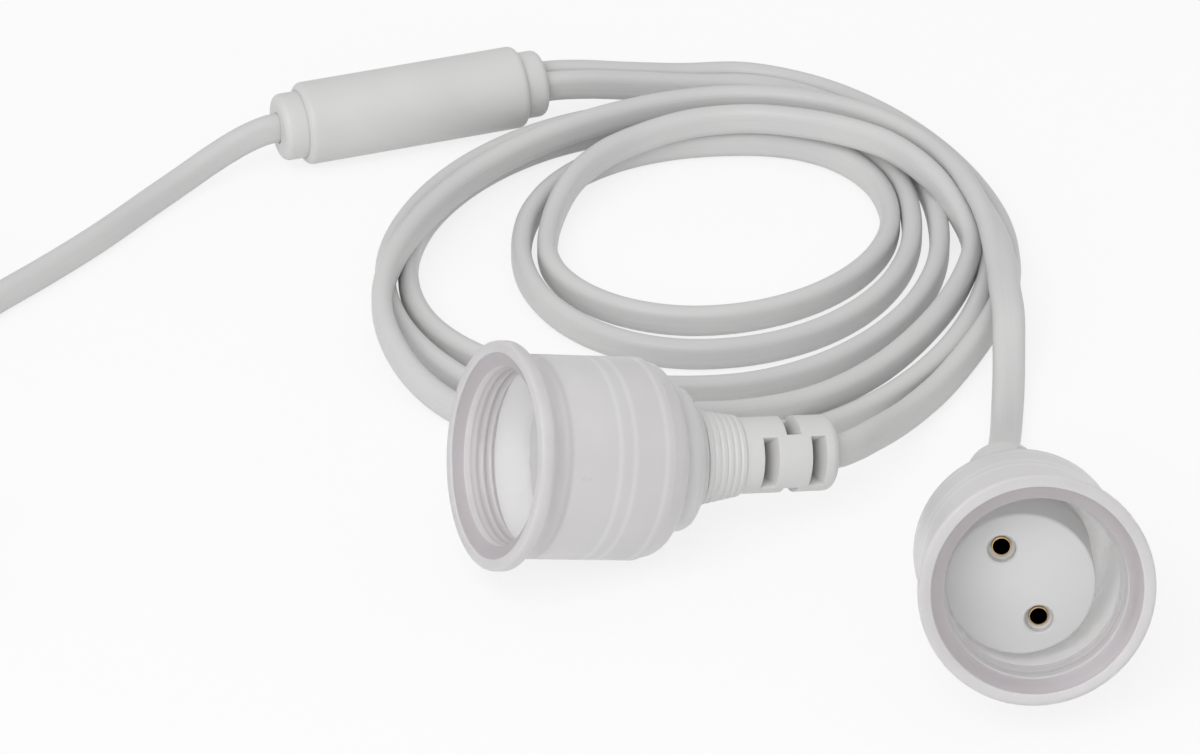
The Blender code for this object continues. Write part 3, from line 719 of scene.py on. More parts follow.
@dataclass
class ContactInsert:
    """The white insert with its two sockets, and the brass sleeves in them."""

    face: float = 10.7
    length: float = 10.0
    radius: float = 11.4
    recess_radius: float = 2.15
    recess_depth: float = 1.7
    sleeve_radius: float = 1.5
    sleeve_inset: float = 1.25
    bore_radius: float = 1.27
    bore_depth: float = 8.0
    flange_radius: float = 2.3
    flange_length: float = 1.8
    barrel_radius: float = 1.3
    barrel_length: float = 4.2
    wire_bore_radius: float = 0.75
    wire_bore_depth: float = 3.4
    clearance: float = 0.3

    def build(self, holder: "Holder") -> None:
        """Makes the insert and its two sleeves.

        Args:
            holder: The holder that they belong to.
        """
        place = holder.mouth_place()
        back = self.face + self.length
        outline = rounded([(self.face, 0.0), (self.face, self.radius, 0.45),
                           (back, self.radius, 0.35), (back, 0.0)], 6.0)
        insert = turned(f"insert_{holder.key}", outline)
        seat = back - self.flange_length - 2 * self.clearance
        cutters = []
        for side in (-1, 1):
            hole = turned("hole", [
                (self.face - 1.0, 0.0), (self.face - 1.0, self.recess_radius + 0.25),
                (self.face, self.recess_radius + 0.25), (self.face + 0.25, self.recess_radius),
                (self.face + self.recess_depth - 0.3, self.recess_radius - 0.1),
                (self.face + self.recess_depth, self.recess_radius - 0.4),
                (self.face + self.recess_depth, self.sleeve_radius + 0.04),
                (seat, self.sleeve_radius + 0.04), (seat, self.flange_radius + 0.1),
                (back + 1.0, self.flange_radius + 0.1), (back + 1.0, 0.0)], 48)
            cutters.append(shift(hole, side * PIN_SPACING / 2))
        subtract(insert, cutters)
        settle(insert, place, Finishes.INSERT, "moulding", f"contact_carrier_{holder.key}")
        for number, side in enumerate((-1, 1), start=1):
            sleeve = turned(f"sleeve_{holder.key}{number}", self.sleeve_outline(), 48)
            # Marks the inside of the pin bore for its painted shade
            mark(sleeve, BORE_SHADE_MARK, lambda station, radius: float(
                station > self.face + self.sleeve_inset + 0.1
                and radius < self.bore_radius + 0.01))
            settle(shift(sleeve, side * PIN_SPACING / 2), place, Finishes.BRASS, "contact",
                   f"contact_sleeve_{holder.key}{number}", angle=40.0)

    def sleeve_outline(self) -> list[tuple[float, float]]:
        """The sleeve's section from the floor of its pin bore round to its wire bore."""
        front = self.face + self.sleeve_inset
        flange = self.face + self.length - self.flange_length - self.clearance
        barrel = flange + self.flange_length
        end = barrel + self.barrel_length
        return rounded([
            (front + self.bore_depth, 0.0), (front + self.bore_depth, self.bore_radius, 0.3),
            (front + 0.15, self.bore_radius), (front, self.bore_radius + 0.06),
            (front, self.sleeve_radius, 0.08), (flange, self.sleeve_radius),
            (flange, self.flange_radius, 0.1), (barrel, self.flange_radius, 0.1),
            (barrel, self.barrel_radius), (end, self.barrel_radius, 0.1),
            (end, self.wire_bore_radius), (end - self.wire_bore_depth, self.wire_bore_radius),
            (end - self.wire_bore_depth, 0.0)], 2.0)


@dataclass
class MouldedTail:
    """The tail behind the insert: flange, neck, ribbed cone and slotted strain relief."""

    front: float = 21.0
    flange_radius: float = 11.4
    flange_length: float = 2.0
    cone_length: float = 3.6
    collar_radius: float = 9.4
    neck_start: float = 31.1
    neck_radius: float = 6.6
    ribs_start: float = 34.4
    rib_count: int = 6
    rib_pitch: float = 1.12
    rib_depth: float = 0.36
    rib_first_radius: float = 7.5
    rib_last_radius: float = 6.5
    relief_radius: float = 6.0
    relief_end: float = 56.6
    slot_stations: Sequence[float] = (44.9, 48.9, 52.8)
    slot_width: float = 2.4
    slot_arc: float = 86.25
    slot_floor: float = 2.7
    slot_ramp: float = 3.0
    slot_shift: float = 0.2
    lead_seat: float = 2.4
    lead_room: float = 0.3
    barrel_bore_radius: float = 1.6
    barrel_bore_depth: float = 4.2

    def outline(self) -> list[tuple[float, float]]:
        """The section from the flange's face to the end of the relief."""
        corners: list[Station] = [
            (self.front, 0.0), (self.front, self.flange_radius, 0.4),
            (self.front + self.flange_length, self.flange_radius, 0.4),
            (self.front + self.flange_length + self.cone_length, self.collar_radius),
            (self.neck_start, self.collar_radius), (self.neck_start, self.neck_radius),
            (self.ribs_start, self.neck_radius),
        ]
        for rib in range(self.rib_count):
            start = self.ribs_start + rib * self.rib_pitch
            share = rib / (self.rib_count - 1)
            radius = self.rib_first_radius + (self.rib_last_radius - self.rib_first_radius) * share
            corners += [(start + 0.04, radius - 0.1), (start + 0.3, radius, 0.22),
                        (start + self.rib_pitch * 0.74, radius - 0.12, 0.2),
                        (start + self.rib_pitch * 0.92, radius - self.rib_depth, 0.1)]
        relief = self.ribs_start + self.rib_count * self.rib_pitch
        corners.append((relief, self.relief_radius, 0.2))
        for station in self.slot_stations:
            reach = self.slot_width / 2 + 0.45
            corners += [(station - reach, self.relief_radius),
                        (station + reach, self.relief_radius)]
        corners += [(self.relief_end, self.relief_radius - 0.08, 1.5), (self.relief_end, 0.0)]
        return rounded(corners, 3.0)

    def slot_shade_depth(self, station: float, radius: float) -> float:
        """How deep in a slot a point is, from 0 at the relief's surface to 1, for the painted shade
        of the slot.
        """
        surface = self.relief_radius - 0.6
        slotted = any(abs(station - slot) < self.slot_width for slot in self.slot_stations)
        return slotted * min(1.0, max(0.0, (surface - radius) / (surface - self.slot_floor - 1.2)))

    def build(self, holder: "Holder") -> None:
        """Makes the tail with its slots and the seat of the lead.

        Args:
            holder: The holder that it belongs to.
        """
        tail = turned(f"tail_{holder.key}", self.outline())
        cutters = []
        for number, station in enumerate(self.slot_stations):
            for side in (0.0, 180.0):
                middle = side + (0.0 if number == 1 else 90.0)
                start = station - self.slot_width / 2 + self.slot_shift
                cutters.append(sector_cutter(start, start + self.slot_width, self.slot_floor,
                                             self.relief_radius + 1.5, middle, self.slot_arc,
                                             self.slot_ramp))
        for side in (-1, 1):
            bore = rod(self.front - 1.0, self.front + self.barrel_bore_depth,
                       self.barrel_bore_radius)
            cutters.append(shift(bore, side * PIN_SPACING / 2))
        cutters.append(slot_cutter(self.relief_end - self.lead_seat, self.relief_end + 1.0,
                                   LEAD_WIDTH + self.lead_room, LEAD_THICKNESS + self.lead_room))
        subtract(tail, cutters)
        soften(tail, 0.16)
        # Marks how deep in its slots each point lies, for the painted shade of the slots
        mark(tail, SLOT_SHADE_MARK, self.slot_shade_depth)
        place = holder.mouth_place()
        settle(tail, place, Finishes.MOULDING, "moulding", f"moulded_tail_{holder.key}", angle=40.0)


@dataclass
class Holder:
    """One lampholder: where it lies, and its cap, insert and tail."""

    key: str
    pivot: Point
    heading: float
    dip: float
    roll: float
    rise: float
    swing: float

    def place(self, rolled: bool = True) -> Matrix:
        """The holder's place, with its X axis along its heading.

        Args:
            rolled: Whether the sockets' roll is in it.
        """
        turn = Matrix.Rotation(math.radians(self.heading), 4, "Z")
        nod = Matrix.Rotation(math.radians(self.dip), 4, "Y")
        twist = Matrix.Rotation(math.radians(self.roll if rolled else 0.0), 4, "X")
        return Matrix.Translation(table_point(*self.pivot)) @ turn @ nod @ twist

    def mouth_place(self) -> Matrix:
        """The rolled place of the mouth, from which the stations are counted."""
        return self.place() @ Matrix.Translation((-PIVOT_STATION * MM, 0, 0))

    def build(self) -> None:
        """Makes the holder's pieces."""
        SealCap().build(self)
        ContactInsert().build(self)
        MouldedTail().build(self)


@dataclass
class Junction:
    """The in-line junction: shell and the bushes of its two ends."""

    centre: tuple[float, float] = (-33.1, 77.9)
    turn: float = 19.6
    radius: float = 7.2
    length: float = 40.2
    wall: float = 1.3
    rounding: float = 1.3
    bush_reach: float = 4.0
    bush_seat: float = 6.0
    bush_rounding: float = 1.3
    lead_spacing: float = 4.0
    lead_seat: float = 2.4
    lead_room: float = 0.3

    def build(self) -> None:
        """Makes the shell and the bushes, and dresses the hidden splices."""
        place = (Matrix.Translation(table_point(*self.centre, self.radius))
                 @ Matrix.Rotation(math.radians(self.turn), 4, "Z"))
        half = self.length / 2
        bore = self.radius - self.wall
        shell = turned("junction_sleeve", rounded([
            (-half, bore, 0.2), (-half, self.radius, self.rounding),
            (half, self.radius, self.rounding), (half, bore, 0.2)], 5.0), closed=True)
        settle(shell, place, Finishes.MOULDING, "junction", "junction_shell")
        inner, outer = half - self.bush_seat, half + self.bush_reach
        for name, side, leads in (("supply", -1, 1), ("leads", 1, 2)):
            bush = turned(f"bush_{name}", rounded([
                (inner, 0.0), (inner, bore - 0.05), (outer, bore - 0.05, self.bush_rounding),
                (outer, 0.0)], 5.0))
            across = LEAD_THICKNESS + (leads - 1) * self.lead_spacing + self.lead_room
            subtract(bush, [slot_cutter(outer - self.lead_seat, outer + 1.0, across,
                                        LEAD_WIDTH + self.lead_room)])
            if side < 0:
                bush.data.transform(Matrix.Rotation(math.pi, 4, "Z"))
            settle(bush, place, Finishes.MOULDING, "junction", f"junction_bush_{name}", angle=40.0)
        Finishes.MOULDING.value.dress(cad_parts["splice_core"])
        for number in (1, 2):
            Finishes.BRASS.value.dress(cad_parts[f"splice_crimp_{number}"])


@dataclass
class Plug:
    """The flat two-pin plug on the far end of the supply lead."""

    back: tuple[float, float] = (-150.5, -61.0)
    length: float = 34.0
    width: float = 35.3
    thickness: float = 13.7
    neck_width: float = 10.0
    neck_thickness: float = 8.0
    pin_radius: float = 2.0
    pin_reach: float = 19.0
    pin_seat: float = 6.0
    pin_spacing: float = 18.6
    sleeve_length: float = 10.0
    squareness: float = 3.4
    grip_depth: float = 0.5
    grip_pitch: float = 0.07
    body_steps: int = 44

    def squared(self, y: float, z: float) -> tuple[float, float]:
        """A point of the round ring on the plug's own soft-cornered section."""
        power = 2 / self.squareness
        return math.copysign(abs(y) ** power, y), math.copysign(abs(z) ** power, z)

    def stations(self) -> list[Station]:
        """Half widths and heights along the body, with grip ribs behind the broad end."""
        shape = ((0.0, self.neck_width, self.neck_thickness), (0.12, 12.0, 9.0),
                 (0.34, 17.0, 12.4), (0.56, 27.0, self.thickness),
                 (0.74, 33.8, self.thickness), (0.86, self.width, self.thickness),
                 (0.97, self.width, self.thickness), (1.0, self.width - 1.6, self.thickness - 1.6))
        stations: list[Station] = [(0.0, 0.0)]
        for step in range(self.body_steps + 1):
            share = step / self.body_steps
            for (s0, w0, h0), (s1, w1, h1) in zip(shape, shape[1:]):
                if s0 <= share <= s1:
                    part = (share - s0) / (s1 - s0)
                    part = part if s0 == 0.97 else ease(part)
                    wide, high = w0 + (w1 - w0) * part, h0 + (h1 - h0) * part
                    break
            if 0.3 < share < 0.72:
                wave = math.tau * (share - 0.3) / self.grip_pitch
                wide -= self.grip_depth * (1 - math.cos(wave)) / 2
            stations.append((share * self.length, wide / 2, high / 2))
        return [*stations, (self.length, 0.0)]

    def build(self) -> list[bpy.types.Object]:
        """Makes the body, the pins and their insulating sleeves.

        Returns:
            The plug's pieces, for the cord that they are on.
        """
        place = Matrix.Translation(table_point(*self.back, self.thickness / 2))
        body = stepped(self.stations(), 1, 64, "plug_moulding", self.squared)
        pieces, holes = [], []
        for number, side in enumerate((-1, 1), start=1):
            across = side * self.pin_spacing / 2
            start = self.length - self.pin_seat
            hole = rod(start - 0.3, self.length + 1, self.pin_radius + 0.05)
            holes.append(shift(hole, across))
            tip = self.length + self.pin_reach
            root = self.length + self.sleeve_length
            sleeve = turned(f"pin_sleeve_{number}", rounded([
                (start, 0.0), (start, self.pin_radius), (root, self.pin_radius - 0.1, 0.3),
                (root, 0.0)], 4.0), 48)
            pieces.append(settle(shift(sleeve, across), place, Finishes.MOULDING, "plug"))
            pin = turned(f"pin_{number}", rounded([
                (root + 0.05, 0.0), (root + 0.05, self.pin_radius - 0.1),
                (tip, self.pin_radius - 0.1, 1.6), (tip, 0.0)], 4.0), 48)
            pieces.append(settle(shift(pin, across), place, Finishes.NICKEL, "plug_pin",
                                 f"plug_pin_{number}"))
        subtract(body, holes)
        pieces.append(settle(body, place, Finishes.MOULDING, "plug", "plug_body", angle=45.0))
        return pieces


@dataclass
class CoilTie:
    """The strap round the stored coil, with its small head."""

    turn: float = 70.0
    inner_radius: float = 21.9
    outer_radius: float = 36.5
    lift: float = 0.55
    height: float = 10.8
    thickness: float = 0.5
    width: float = 4.0
    corner: float = 1.5
    head: Point = (5.4, 5.0, 2.4)
    head_side: float = 2.2

    def build(self) -> list[bpy.types.Object]:
        """Makes the strap and its head.

        Returns:
            The two pieces, for the cord that they are on.
        """
        middle = (self.inner_radius + self.outer_radius) / 2
        angle = math.radians(self.turn)
        across = self.outer_radius - self.inner_radius + 2 * self.thickness
        tall = self.height + 2 * self.thickness
        spot = (COIL_CENTRE[0] + middle * math.cos(angle),
                COIL_CENTRE[1] + middle * math.sin(angle), tall / 2)
        place = (Matrix.Translation(table_point(*spot))
                 @ Matrix.Rotation(angle + math.pi / 2, 4, "Z"))
        strap = block("tie_strap", (self.width, across, tall))
        bpy.ops.object.mode_set(mode="EDIT")
        bpy.ops.mesh.select_all(action="DESELECT")
        bpy.ops.object.mode_set(mode="OBJECT")
        for face in strap.data.polygons:
            face.select = abs(face.normal.x) > 0.9
        bpy.ops.object.mode_set(mode="EDIT")
        bpy.ops.mesh.select_mode(type="FACE")
        bpy.ops.mesh.delete(type="ONLY_FACE")
        bpy.ops.object.mode_set(mode="OBJECT")
        soften(strap, self.corner, 6, 60.0)
        wall = strap.modifiers.new("wall", "SOLIDIFY")
        wall.thickness = self.thickness * MM
        wall.offset = -1.0
        bpy.ops.object.modifier_apply(modifier="wall")
        soften(strap, 0.12, 2, 60.0)
        settle(strap, place, Finishes.NYLON, "tie", "coil_tie")
        head = block("tie_head", self.head)
        bpy.ops.object.mode_set(mode="EDIT")
        bpy.ops.mesh.select_mode(type="FACE")
        bpy.ops.mesh.select_all(action="SELECT")
        bpy.ops.mesh.inset(thickness=0.9 * MM, use_individual=True)
        bpy.ops.transform.resize(value=(0.94, 0.94, 0.94))
        bpy.ops.object.mode_set(mode="OBJECT")
        soften(head, 0.35, 3, 40.0)
        top = (tall / 2 + self.head[2] / 2 - 0.1) * MM
        head.data.transform(Matrix.Translation((0, self.head_side * MM, top)))
        settle(head, place, Finishes.NYLON, "tie")
        return [strap, head]


class Quarter(Enum):
    """The quarter of a lap that a lead goes through, clockwise from above."""

    TO_SIDE = "from a far or near point to a point at the side"
    TO_END = "from a point at the side to a far or near point"


@dataclass
class FlatLead:
    """A flat two-core lead: a smooth line, and a rounded flat section that stands on its edge."""

    name: str
    chosen: Sequence[Point]
    spacing: float = 1.6
    arc_steps: int = 8
    curve_steps: int = 12
    turns: Callable[[float], float] = lambda share: 0.0

    def line(self) -> list[Vector]:
        """The points of the middle of the lead on a smooth curve, in millimetres."""
        points = [Vector(p) for p in self.chosen]
        points = [points[0] * 2 - points[1], *points, points[-1] * 2 - points[-2]]
        dense: list[Vector] = []
        for p0, p1, p2, p3 in zip(points, points[1:], points[2:], points[3:]):
            knots = [0.0]
            for a, b in ((p0, p1), (p1, p2), (p2, p3)):
                knots.append(knots[-1] + max((b - a).length, 1e-3) ** 0.5)
            k0, k1, k2, k3 = knots
            for step in range(self.curve_steps):
                t = k1 + (k2 - k1) * step / self.curve_steps
                a1 = p0.lerp(p1, (t - k0) / (k1 - k0))
                a2 = p1.lerp(p2, (t - k1) / (k2 - k1))
                a3 = p2.lerp(p3, (t - k2) / (k3 - k2))
                b1 = a1.lerp(a2, (t - k0) / (k2 - k0))
                b2 = a2.lerp(a3, (t - k1) / (k3 - k1))
                dense.append(b1.lerp(b2, (t - k1) / (k2 - k1)))
        dense.append(points[-2])
        return self.evenly(dense)

    def evenly(self, dense: Sequence[Vector]) -> list[Vector]:
        """Spaces the points of a line evenly.

        Args:
            dense: Points close together on the line.

        Returns:
            Points about the lead's spacing apart, with the same ends.
        """
        run = [0.0]
        for a, b in zip(dense, dense[1:]):
            run.append(run[-1] + (b - a).length)
        count = max(2, round(run[-1] / self.spacing))
        line, index = [], 0
        for step in range(count):
            want = run[-1] * step / count
            while run[index + 1] < want:
                index += 1
            share = (want - run[index]) / max(run[index + 1] - run[index], 1e-9)
            line.append(dense[index].lerp(dense[index + 1], share))
        return [*line, dense[-1]]

    def section(self) -> list[tuple[float, float]]:
        """The outline of the lead's section, as (across, along its width)."""
        radius = LEAD_THICKNESS / 2
        straight = LEAD_WIDTH / 2 - radius
        outline = []
        for side, start in ((1, 0.0), (-1, math.pi)):
            for step in range(self.arc_steps + 1):
                angle = start + math.pi * step / self.arc_steps
                outline.append((radius * math.cos(angle),
                                side * straight + radius * math.sin(angle)))
        return outline

    def build(self) -> tuple[bpy.types.Object, list[Vector]]:
        """Makes the lead as a closed tube with a UV map that follows it.

        Returns:
            The lead's object, and the points of its middle in metres.
        """
        line = self.line()
        outline = self.section()
        bm = bmesh.new()
        uv = bm.loops.layers.uv.new("UVMap")
        rings, marks = [], []
        run = 0.0
        for index, point in enumerate(line):
            before, after = line[max(index - 1, 0)], line[min(index + 1, len(line) - 1)]
            tangent = (after - before).normalized()
            up = (Vector((0, 0, 1)) - tangent * tangent.z).normalized()
            up.rotate(Matrix.Rotation(self.turns(index / (len(line) - 1)), 3, tangent))
            across = up.cross(tangent)
            centre = table_point(*point)
            rings.append([bm.verts.new(centre + (across * a + up * b) * MM) for a, b in outline])
            run += (point - before).length
            marks.append(run)
        count = len(outline)
        for index, (ring, after) in enumerate(zip(rings, rings[1:])):
            for side in range(count):
                other = (side + 1) % count
                face = bm.faces.new((ring[side], ring[other], after[other], after[side]))
                corners = ((side, 0), (side + 1, 0), (side + 1, 1), (side, 1))
                for loop, (around, along) in zip(face.loops, corners):
                    loop[uv].uv = (around / count, marks[index + along] / 10.0)
        bm.faces.new(rings[0][::-1])
        bm.faces.new(rings[-1])
        bmesh.ops.recalc_face_normals(bm, faces=bm.faces)
        mesh = bpy.data.meshes.new(self.name)
        bm.to_mesh(mesh)
        bm.free()
        mesh.shade_smooth()
        mesh.set_sharp_from_angle(angle=math.radians(60))
        piece = bpy.data.objects.new(self.name, mesh)
        bpy.context.collection.objects.link(piece)
        return piece, [table_point(*p) for p in line]


@dataclass
class LeadSet:
    """The three leads of the set: where they run, and how the long one lies in its laps."""

    supply_start: Sequence[Point] = (
        (-54.4, 70.3, 7.2), (-57.5, 69.2, 7.2), (-61.5, 67.3, 6.3), (-66.4, 64.0, 4.7),
        (-71.0, 59.6, 3.4), (-77.0, 52.0, 2.7), (-84.7, 40.4, 2.7), (-92.5, 30.0, 2.7),
        (-100.0, 20.8, 2.7), (-106.4, 12.5, 2.7),
    )
    supply_end: Sequence[Point] = (
        (-150.0, -20.2, 7.4), (-157.0, -21.0, 5.9), (-165.5, -23.6, 3.9), (-173.0, -29.2, 2.9),
        (-176.6, -37.6, 3.2), (-176.6, -46.0, 4.2), (-172.4, -54.2, 5.4), (-165.0, -59.6, 6.5),
        (-157.0, -61.0, 6.85), (-151.2, -61.0, 6.85),
    )
    lead_a: Sequence[Point] = (
        (-13.0, 87.3, 7.2), (-9.5, 88.5, 7.2), (-4.0, 90.2, 6.5), (4.0, 92.4, 4.9),
        (14.0, 95.0, 3.2), (25.8, 96.3, 2.7), (38.0, 91.4, 2.7), (49.0, 82.2, 2.7),
        (58.2, 69.8, 2.7), (64.6, 56.4, 2.7), (68.6, 41.0, 2.7), (68.6, 27.0, 2.7),
        (65.2, 14.4, 2.7), (60.6, 3.2, 2.7), (55.5, -7.1, 2.8), (52.3, -13.0, 3.4),
        (49.0, -19.3, 4.6), (45.9, -25.6, 6.5), (43.2, -31.2, 8.5), (40.3, -36.3, 10.1),
        (36.92, -39.72, 10.92), (33.59, -40.66, 11.38),
    )
    long_start: Sequence[Point] = (
        (-11.6, 83.5, 7.2), (-8.1, 84.8, 7.2), (-2.0, 86.8, 6.4), (6.0, 89.2, 4.8),
        (15.0, 91.2, 3.2), (21.0, 92.0, 2.7),
    )
    long_end: Sequence[Point] = (
        (66.9, 15.5, 7.9), (67.2, 9.0, 7.0), (67.0, 2.5, 4.6), (66.6, -5.0, 2.5),
        (65.9, -13.5, 1.9), (65.1, -22.0, 2.7), (64.2, -30.0, 4.9), (63.6, -36.5, 7.1),
        (63.33, -41.59, 8.4), (63.31, -45.01, 9.11),
    )
    # The far, right, near and left points of each lap: x, y and height, then the height half
    # way to the next point, and how square that quarter is (2 is an oval)
    laps: Sequence[Station] = (
        (25.5, 92.0, 2.7, 2.7, 1.65), (65.7, 36.0, 2.7, 2.7, 1.8), (22.0, -24.5, 2.7, 2.7, 2.0),
        (-36.0, 28.0, 2.7, 2.7, 1.85), (10.0, 81.7, 2.7, 2.7, 2.8), (57.5, 40.0, 2.7, 2.7, 1.9),
        (16.0, -8.6, 2.7, 2.7, 2.4), (-32.2, 31.0, 2.7, 2.7, 1.83), (10.0, 78.0, 2.7, 2.7, 2.7),
        (53.0, 44.0, 2.7, 2.7, 2.0), (16.0, 2.7, 2.7, 2.7, 2.0), (-13.3, 36.0, 2.7, 2.7, 2.15),
        (25.0, 73.1, 2.7, 2.7, 2.2), (49.4, 46.0, 2.7, 2.7, 1.9), (16.0, 13.2, 2.7, 2.7, 2.0),
        (-8.9, 36.0, 2.7, 6.4, 2.15), (25.0, 71.5, 8.1, 9.4, 1.66), (62.7, 36.0, 4.0, 4.2, 1.6),
        (14.0, -26.0, 8.6, 2.7, 2.1), (-36.0, 13.0, 7.5, 8.3, 1.8), (25.0, 78.3, 8.1, 8.6, 2.05),
        (66.8, 22.0, 8.1, 8.1, 2.0),
    )
    coil_columns: Sequence[float] = (23.8, 27.4, 31.0, 34.6)
    coil_layers: tuple[float, float] = (2.7, 8.1)
    coil_start: float = -38.0
    coil_way_out: float = 3.6
    coil_steps: int = 16
    lap_steps: int = 6
    lead_a_lean: float = 15.0
    tie: CoilTie = field(default_factory=CoilTie)

    def lap_points(self) -> list[Point]:
        """Points on quarter ovals between the far, right, near and left points of the laps."""
        points: list[Point] = []
        for index, (start, end) in enumerate(zip(self.laps, self.laps[1:])):
            quarter = Quarter.TO_SIDE if index % 2 == 0 else Quarter.TO_END
            for step in range(self.lap_steps):
                share = step / self.lap_steps
                power = 2.0 / start[4]
                sine = math.sin(math.pi / 2 * share) ** power
                cosine = math.cos(math.pi / 2 * share) ** power
                if quarter is Quarter.TO_SIDE:
                    x = start[0] + (end[0] - start[0]) * sine
                    y = end[1] + (start[1] - end[1]) * cosine
                else:
                    x = end[0] + (start[0] - end[0]) * cosine
                    y = start[1] + (end[1] - start[1]) * sine
                if share < 0.5:
                    z = start[2] + (start[3] - start[2]) * ease(share * 2)
                else:
                    z = start[3] + (end[2] - start[3]) * ease(share * 2 - 1)
                points.append((x, y, z))
        return [*points, self.laps[-1][:3]]

    def stored_turns(self) -> list[Point]:
        """The turns of the stored supply lead, clockwise from above.

        The lower layer is wound inwards and the upper one outwards.

        Returns:
            The points from where the lead comes to the coil to where it leaves it.
        """
        lower = list(reversed(self.coil_columns))
        upper = list(self.coil_columns)
        low, high = self.coil_layers
        points: list[Point] = []
        for step in range(7 * self.coil_steps + 2):
            lap, part = divmod(step / self.coil_steps, 1.0)
            lap = int(lap)
            if lap < 3:
                radius = lower[lap] + (lower[lap + 1] - lower[lap]) * ease((part - 0.69) / 0.31)
                height = low
            elif lap == 3:
                radius = lower[3]
                height = low + (high - low) * ease((part - 0.3) / 0.35)
            elif lap < 7:
                radius = upper[lap - 4] + (upper[lap - 3] - upper[lap - 4]) * ease(part / 0.31)
                height = high
            else:
                radius = upper[3] + self.coil_way_out * ease(part / 0.14)
                height = high
            turn = self.coil_start - 360.0 * step / self.coil_steps
            near = abs((turn - self.tie.turn + 180.0) % 360.0 - 180.0)
            height += self.tie.lift * ease(1.6 - near / 25.0)
            angle = math.radians(turn)
            points.append((COIL_CENTRE[0] + radius * math.cos(angle),
                           COIL_CENTRE[1] + radius * math.sin(angle), height))
        return points

    def build(self, plug: Sequence[bpy.types.Object]) -> None:
        """Args:
            plug: The pieces of the plug on the supply lead.
        """
        lead_a = FlatLead("lead_a_cord", self.lead_a,
                          turns=lambda share: math.radians(self.lead_a_lean) * share)
        self.lay(lead_a, ("lead_a",), 0.211, "object")
        route = [*self.long_start, *self.lap_points(), *self.long_end]
        long_lead = FlatLead("lead_b_cord", route, turns=self.long_turn)
        self.lay(long_lead, ("lead_b_start", "loose_coil", "lead_b_end"), 1.51, "object")
        route = [*self.supply_start, *self.stored_turns(), *self.supply_end]
        supply = FlatLead("supply_cord", route)
        self.lay(supply, ("supply_lead", "supply_coil", "supply_end"), 1.5, "plug",
                 [*plug, *self.tie.build()])

    @staticmethod
    def long_turn(share: float) -> float:
        """How far the long lead leans over from its edge, in radians.

        Args:
            share: The share of the lead's length from its start.
        """
        rise = ease((share - 0.93) / 0.03)
        fall = max(0.0, (share - 0.965) / 0.035)
        return math.radians(90.0 * rise - 62.5 * fall)

    @staticmethod
    def lay(lead: FlatLead, nodes: Sequence[str], length: float, far_end: str,
            with_pieces: Sequence[bpy.types.Object] = ()) -> None:
        """Args:
            lead: The lead.
            nodes: The CAD nodes that it stands for.
            length: Its real length in metres; it is not used.
            far_end: What is on its far end; it is not used.
            with_pieces: The separate pieces on it; it is not used.
        """
        piece, path = lead.build()
        Finishes.SHEATH.value.dress(piece)
        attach(piece, "root")
        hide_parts(*nodes)
        run = sum((b - a).length for a, b in zip(path, path[1:]))
        LOG.info("%s: %.3f m, %d faces", lead.name, run, len(piece.data.polygons))


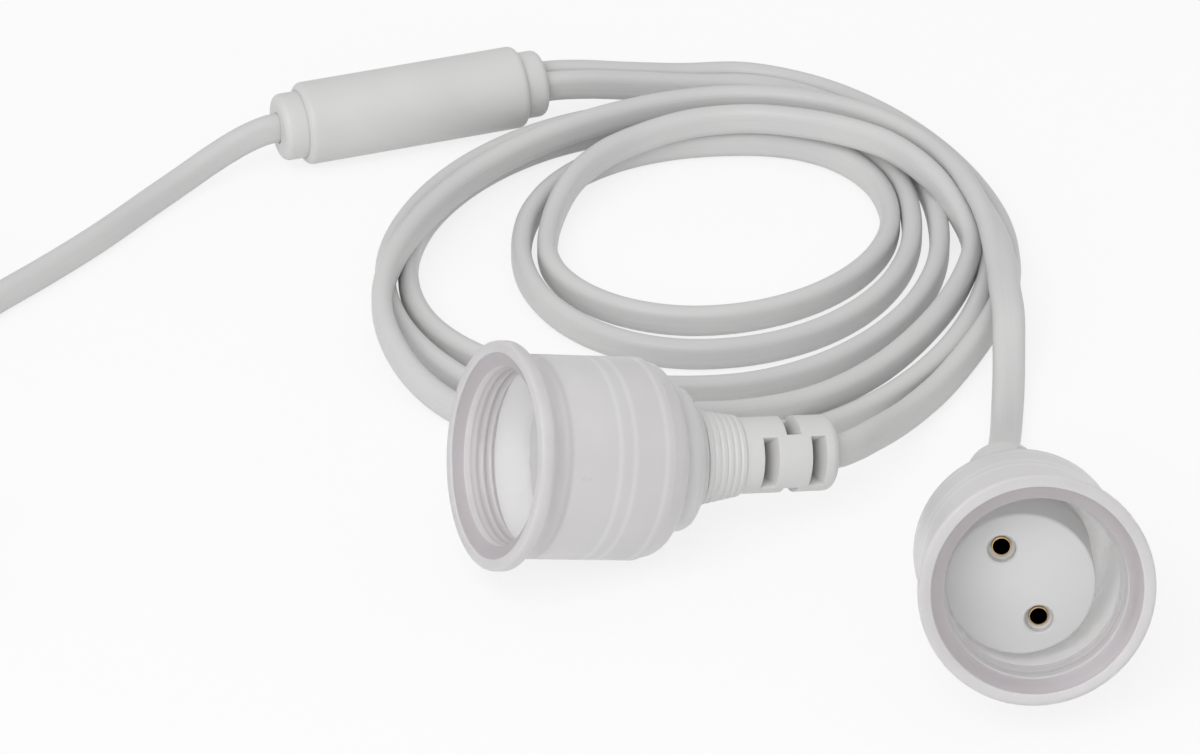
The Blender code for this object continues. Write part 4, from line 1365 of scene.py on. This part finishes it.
@dataclass
class Studio:
    """The pale floor, the soft light and the camera at the photograph's angle."""

    camera_height: float = 521.16
    camera_back: float = -834.03
    camera_tilt: float = 58.0
    lens: float = 180.0
    floor_size: float = 6.0
    floor_drop: float = 0.0003
    sky: float = 0.66
    key_power: float = 9.5
    key_size: float = 1.1
    key_place: Point = (-0.4, -0.95, 0.95)

    def floor(self) -> None:
        """Makes the floor, white to the camera and in reflections, with a soft shadow."""
        unselect()
        bpy.ops.mesh.primitive_plane_add(size=self.floor_size, location=(0, 0, -self.floor_drop))
        floor = bpy.context.object
        floor.name = "floor"
        graph = Graph("white_floor")
        graph.shade(Base_Color=(0.9, 0.9, 0.9, 1.0), Roughness=0.9, Specular_IOR_Level=0.1)
        path = graph.node("ShaderNodeLightPath")
        seen = path["Is Camera Ray"] + path["Is Glossy Ray"] + path["Is Transmission Ray"]
        glow = graph.node("ShaderNodeEmission", {}, {"Color": (1, 1, 1, 1), "Strength": 1.0})
        mixed = graph.node("ShaderNodeMixShader", {}, {"Fac": seen.above(0.0, 1.0) * 0.8,
                                                       2: glow["Emission"]})
        mixer = mixed["Shader"].socket.node
        graph.tree.links.new(graph.shader.outputs["BSDF"], mixer.inputs[1])
        graph.tree.links.new(mixer.outputs["Shader"],
                             graph.tree.nodes["Material Output"].inputs["Surface"])
        floor.data.materials.append(graph.material)

    def camera(self) -> None:
        """Makes the camera."""
        data = bpy.data.cameras.new("camera")
        data.lens = self.lens
        data.sensor_width = 36.0
        data.clip_start = 0.01
        data.clip_end = 50.0
        camera = bpy.data.objects.new("camera", data)
        bpy.context.collection.objects.link(camera)
        camera.location = table_point(0.0, self.camera_back, self.camera_height)
        camera.rotation_euler = (math.radians(self.camera_tilt), 0.0, 0.0)
        bpy.context.scene.camera = camera

    def light(self) -> None:
        """Makes the even sky and one large soft lamp above."""
        world = bpy.data.worlds.new("world")
        bpy.context.scene.world = world
        world.use_nodes = True
        sky = world.node_tree.nodes["Background"]
        sky.inputs["Color"].default_value = (1.0, 1.0, 1.0, 1.0)
        sky.inputs["Strength"].default_value = self.sky
        data = bpy.data.lights.new("softbox", "AREA")
        data.shape = "SQUARE"
        data.size = self.key_size
        data.energy = self.key_power
        lamp = bpy.data.objects.new("softbox", data)
        bpy.context.collection.objects.link(lamp)
        lamp.location = self.key_place
        aim = Vector((0, 0, 0)) - lamp.location
        lamp.rotation_euler = aim.to_track_quat("-Z", "Y").to_euler()

    def build(self) -> None:
        """Sets the stage."""
        self.floor()
        self.camera()
        self.light()
        bpy.context.scene.view_settings.view_transform = "Standard"


HOLDERS = (
    Holder("a", (7.83, -47.96, 14.9), 15.82, 7.49, 75.0, 7.1, 5.6),
    Holder("b", (63.16, -71.45, 14.6), 89.68, 11.73, 62.5, 6.76, 3.97),
)


def main() -> None:
    """Builds the set and its stage in order."""
    logging.basicConfig(level=logging.INFO, format="%(message)s")
    Studio().build()
    plug = Plug().build()
    LeadSet().build(plug)
    for holder in HOLDERS:
        holder.build()
    Junction().build()


if __name__ == "__main__":
    main()
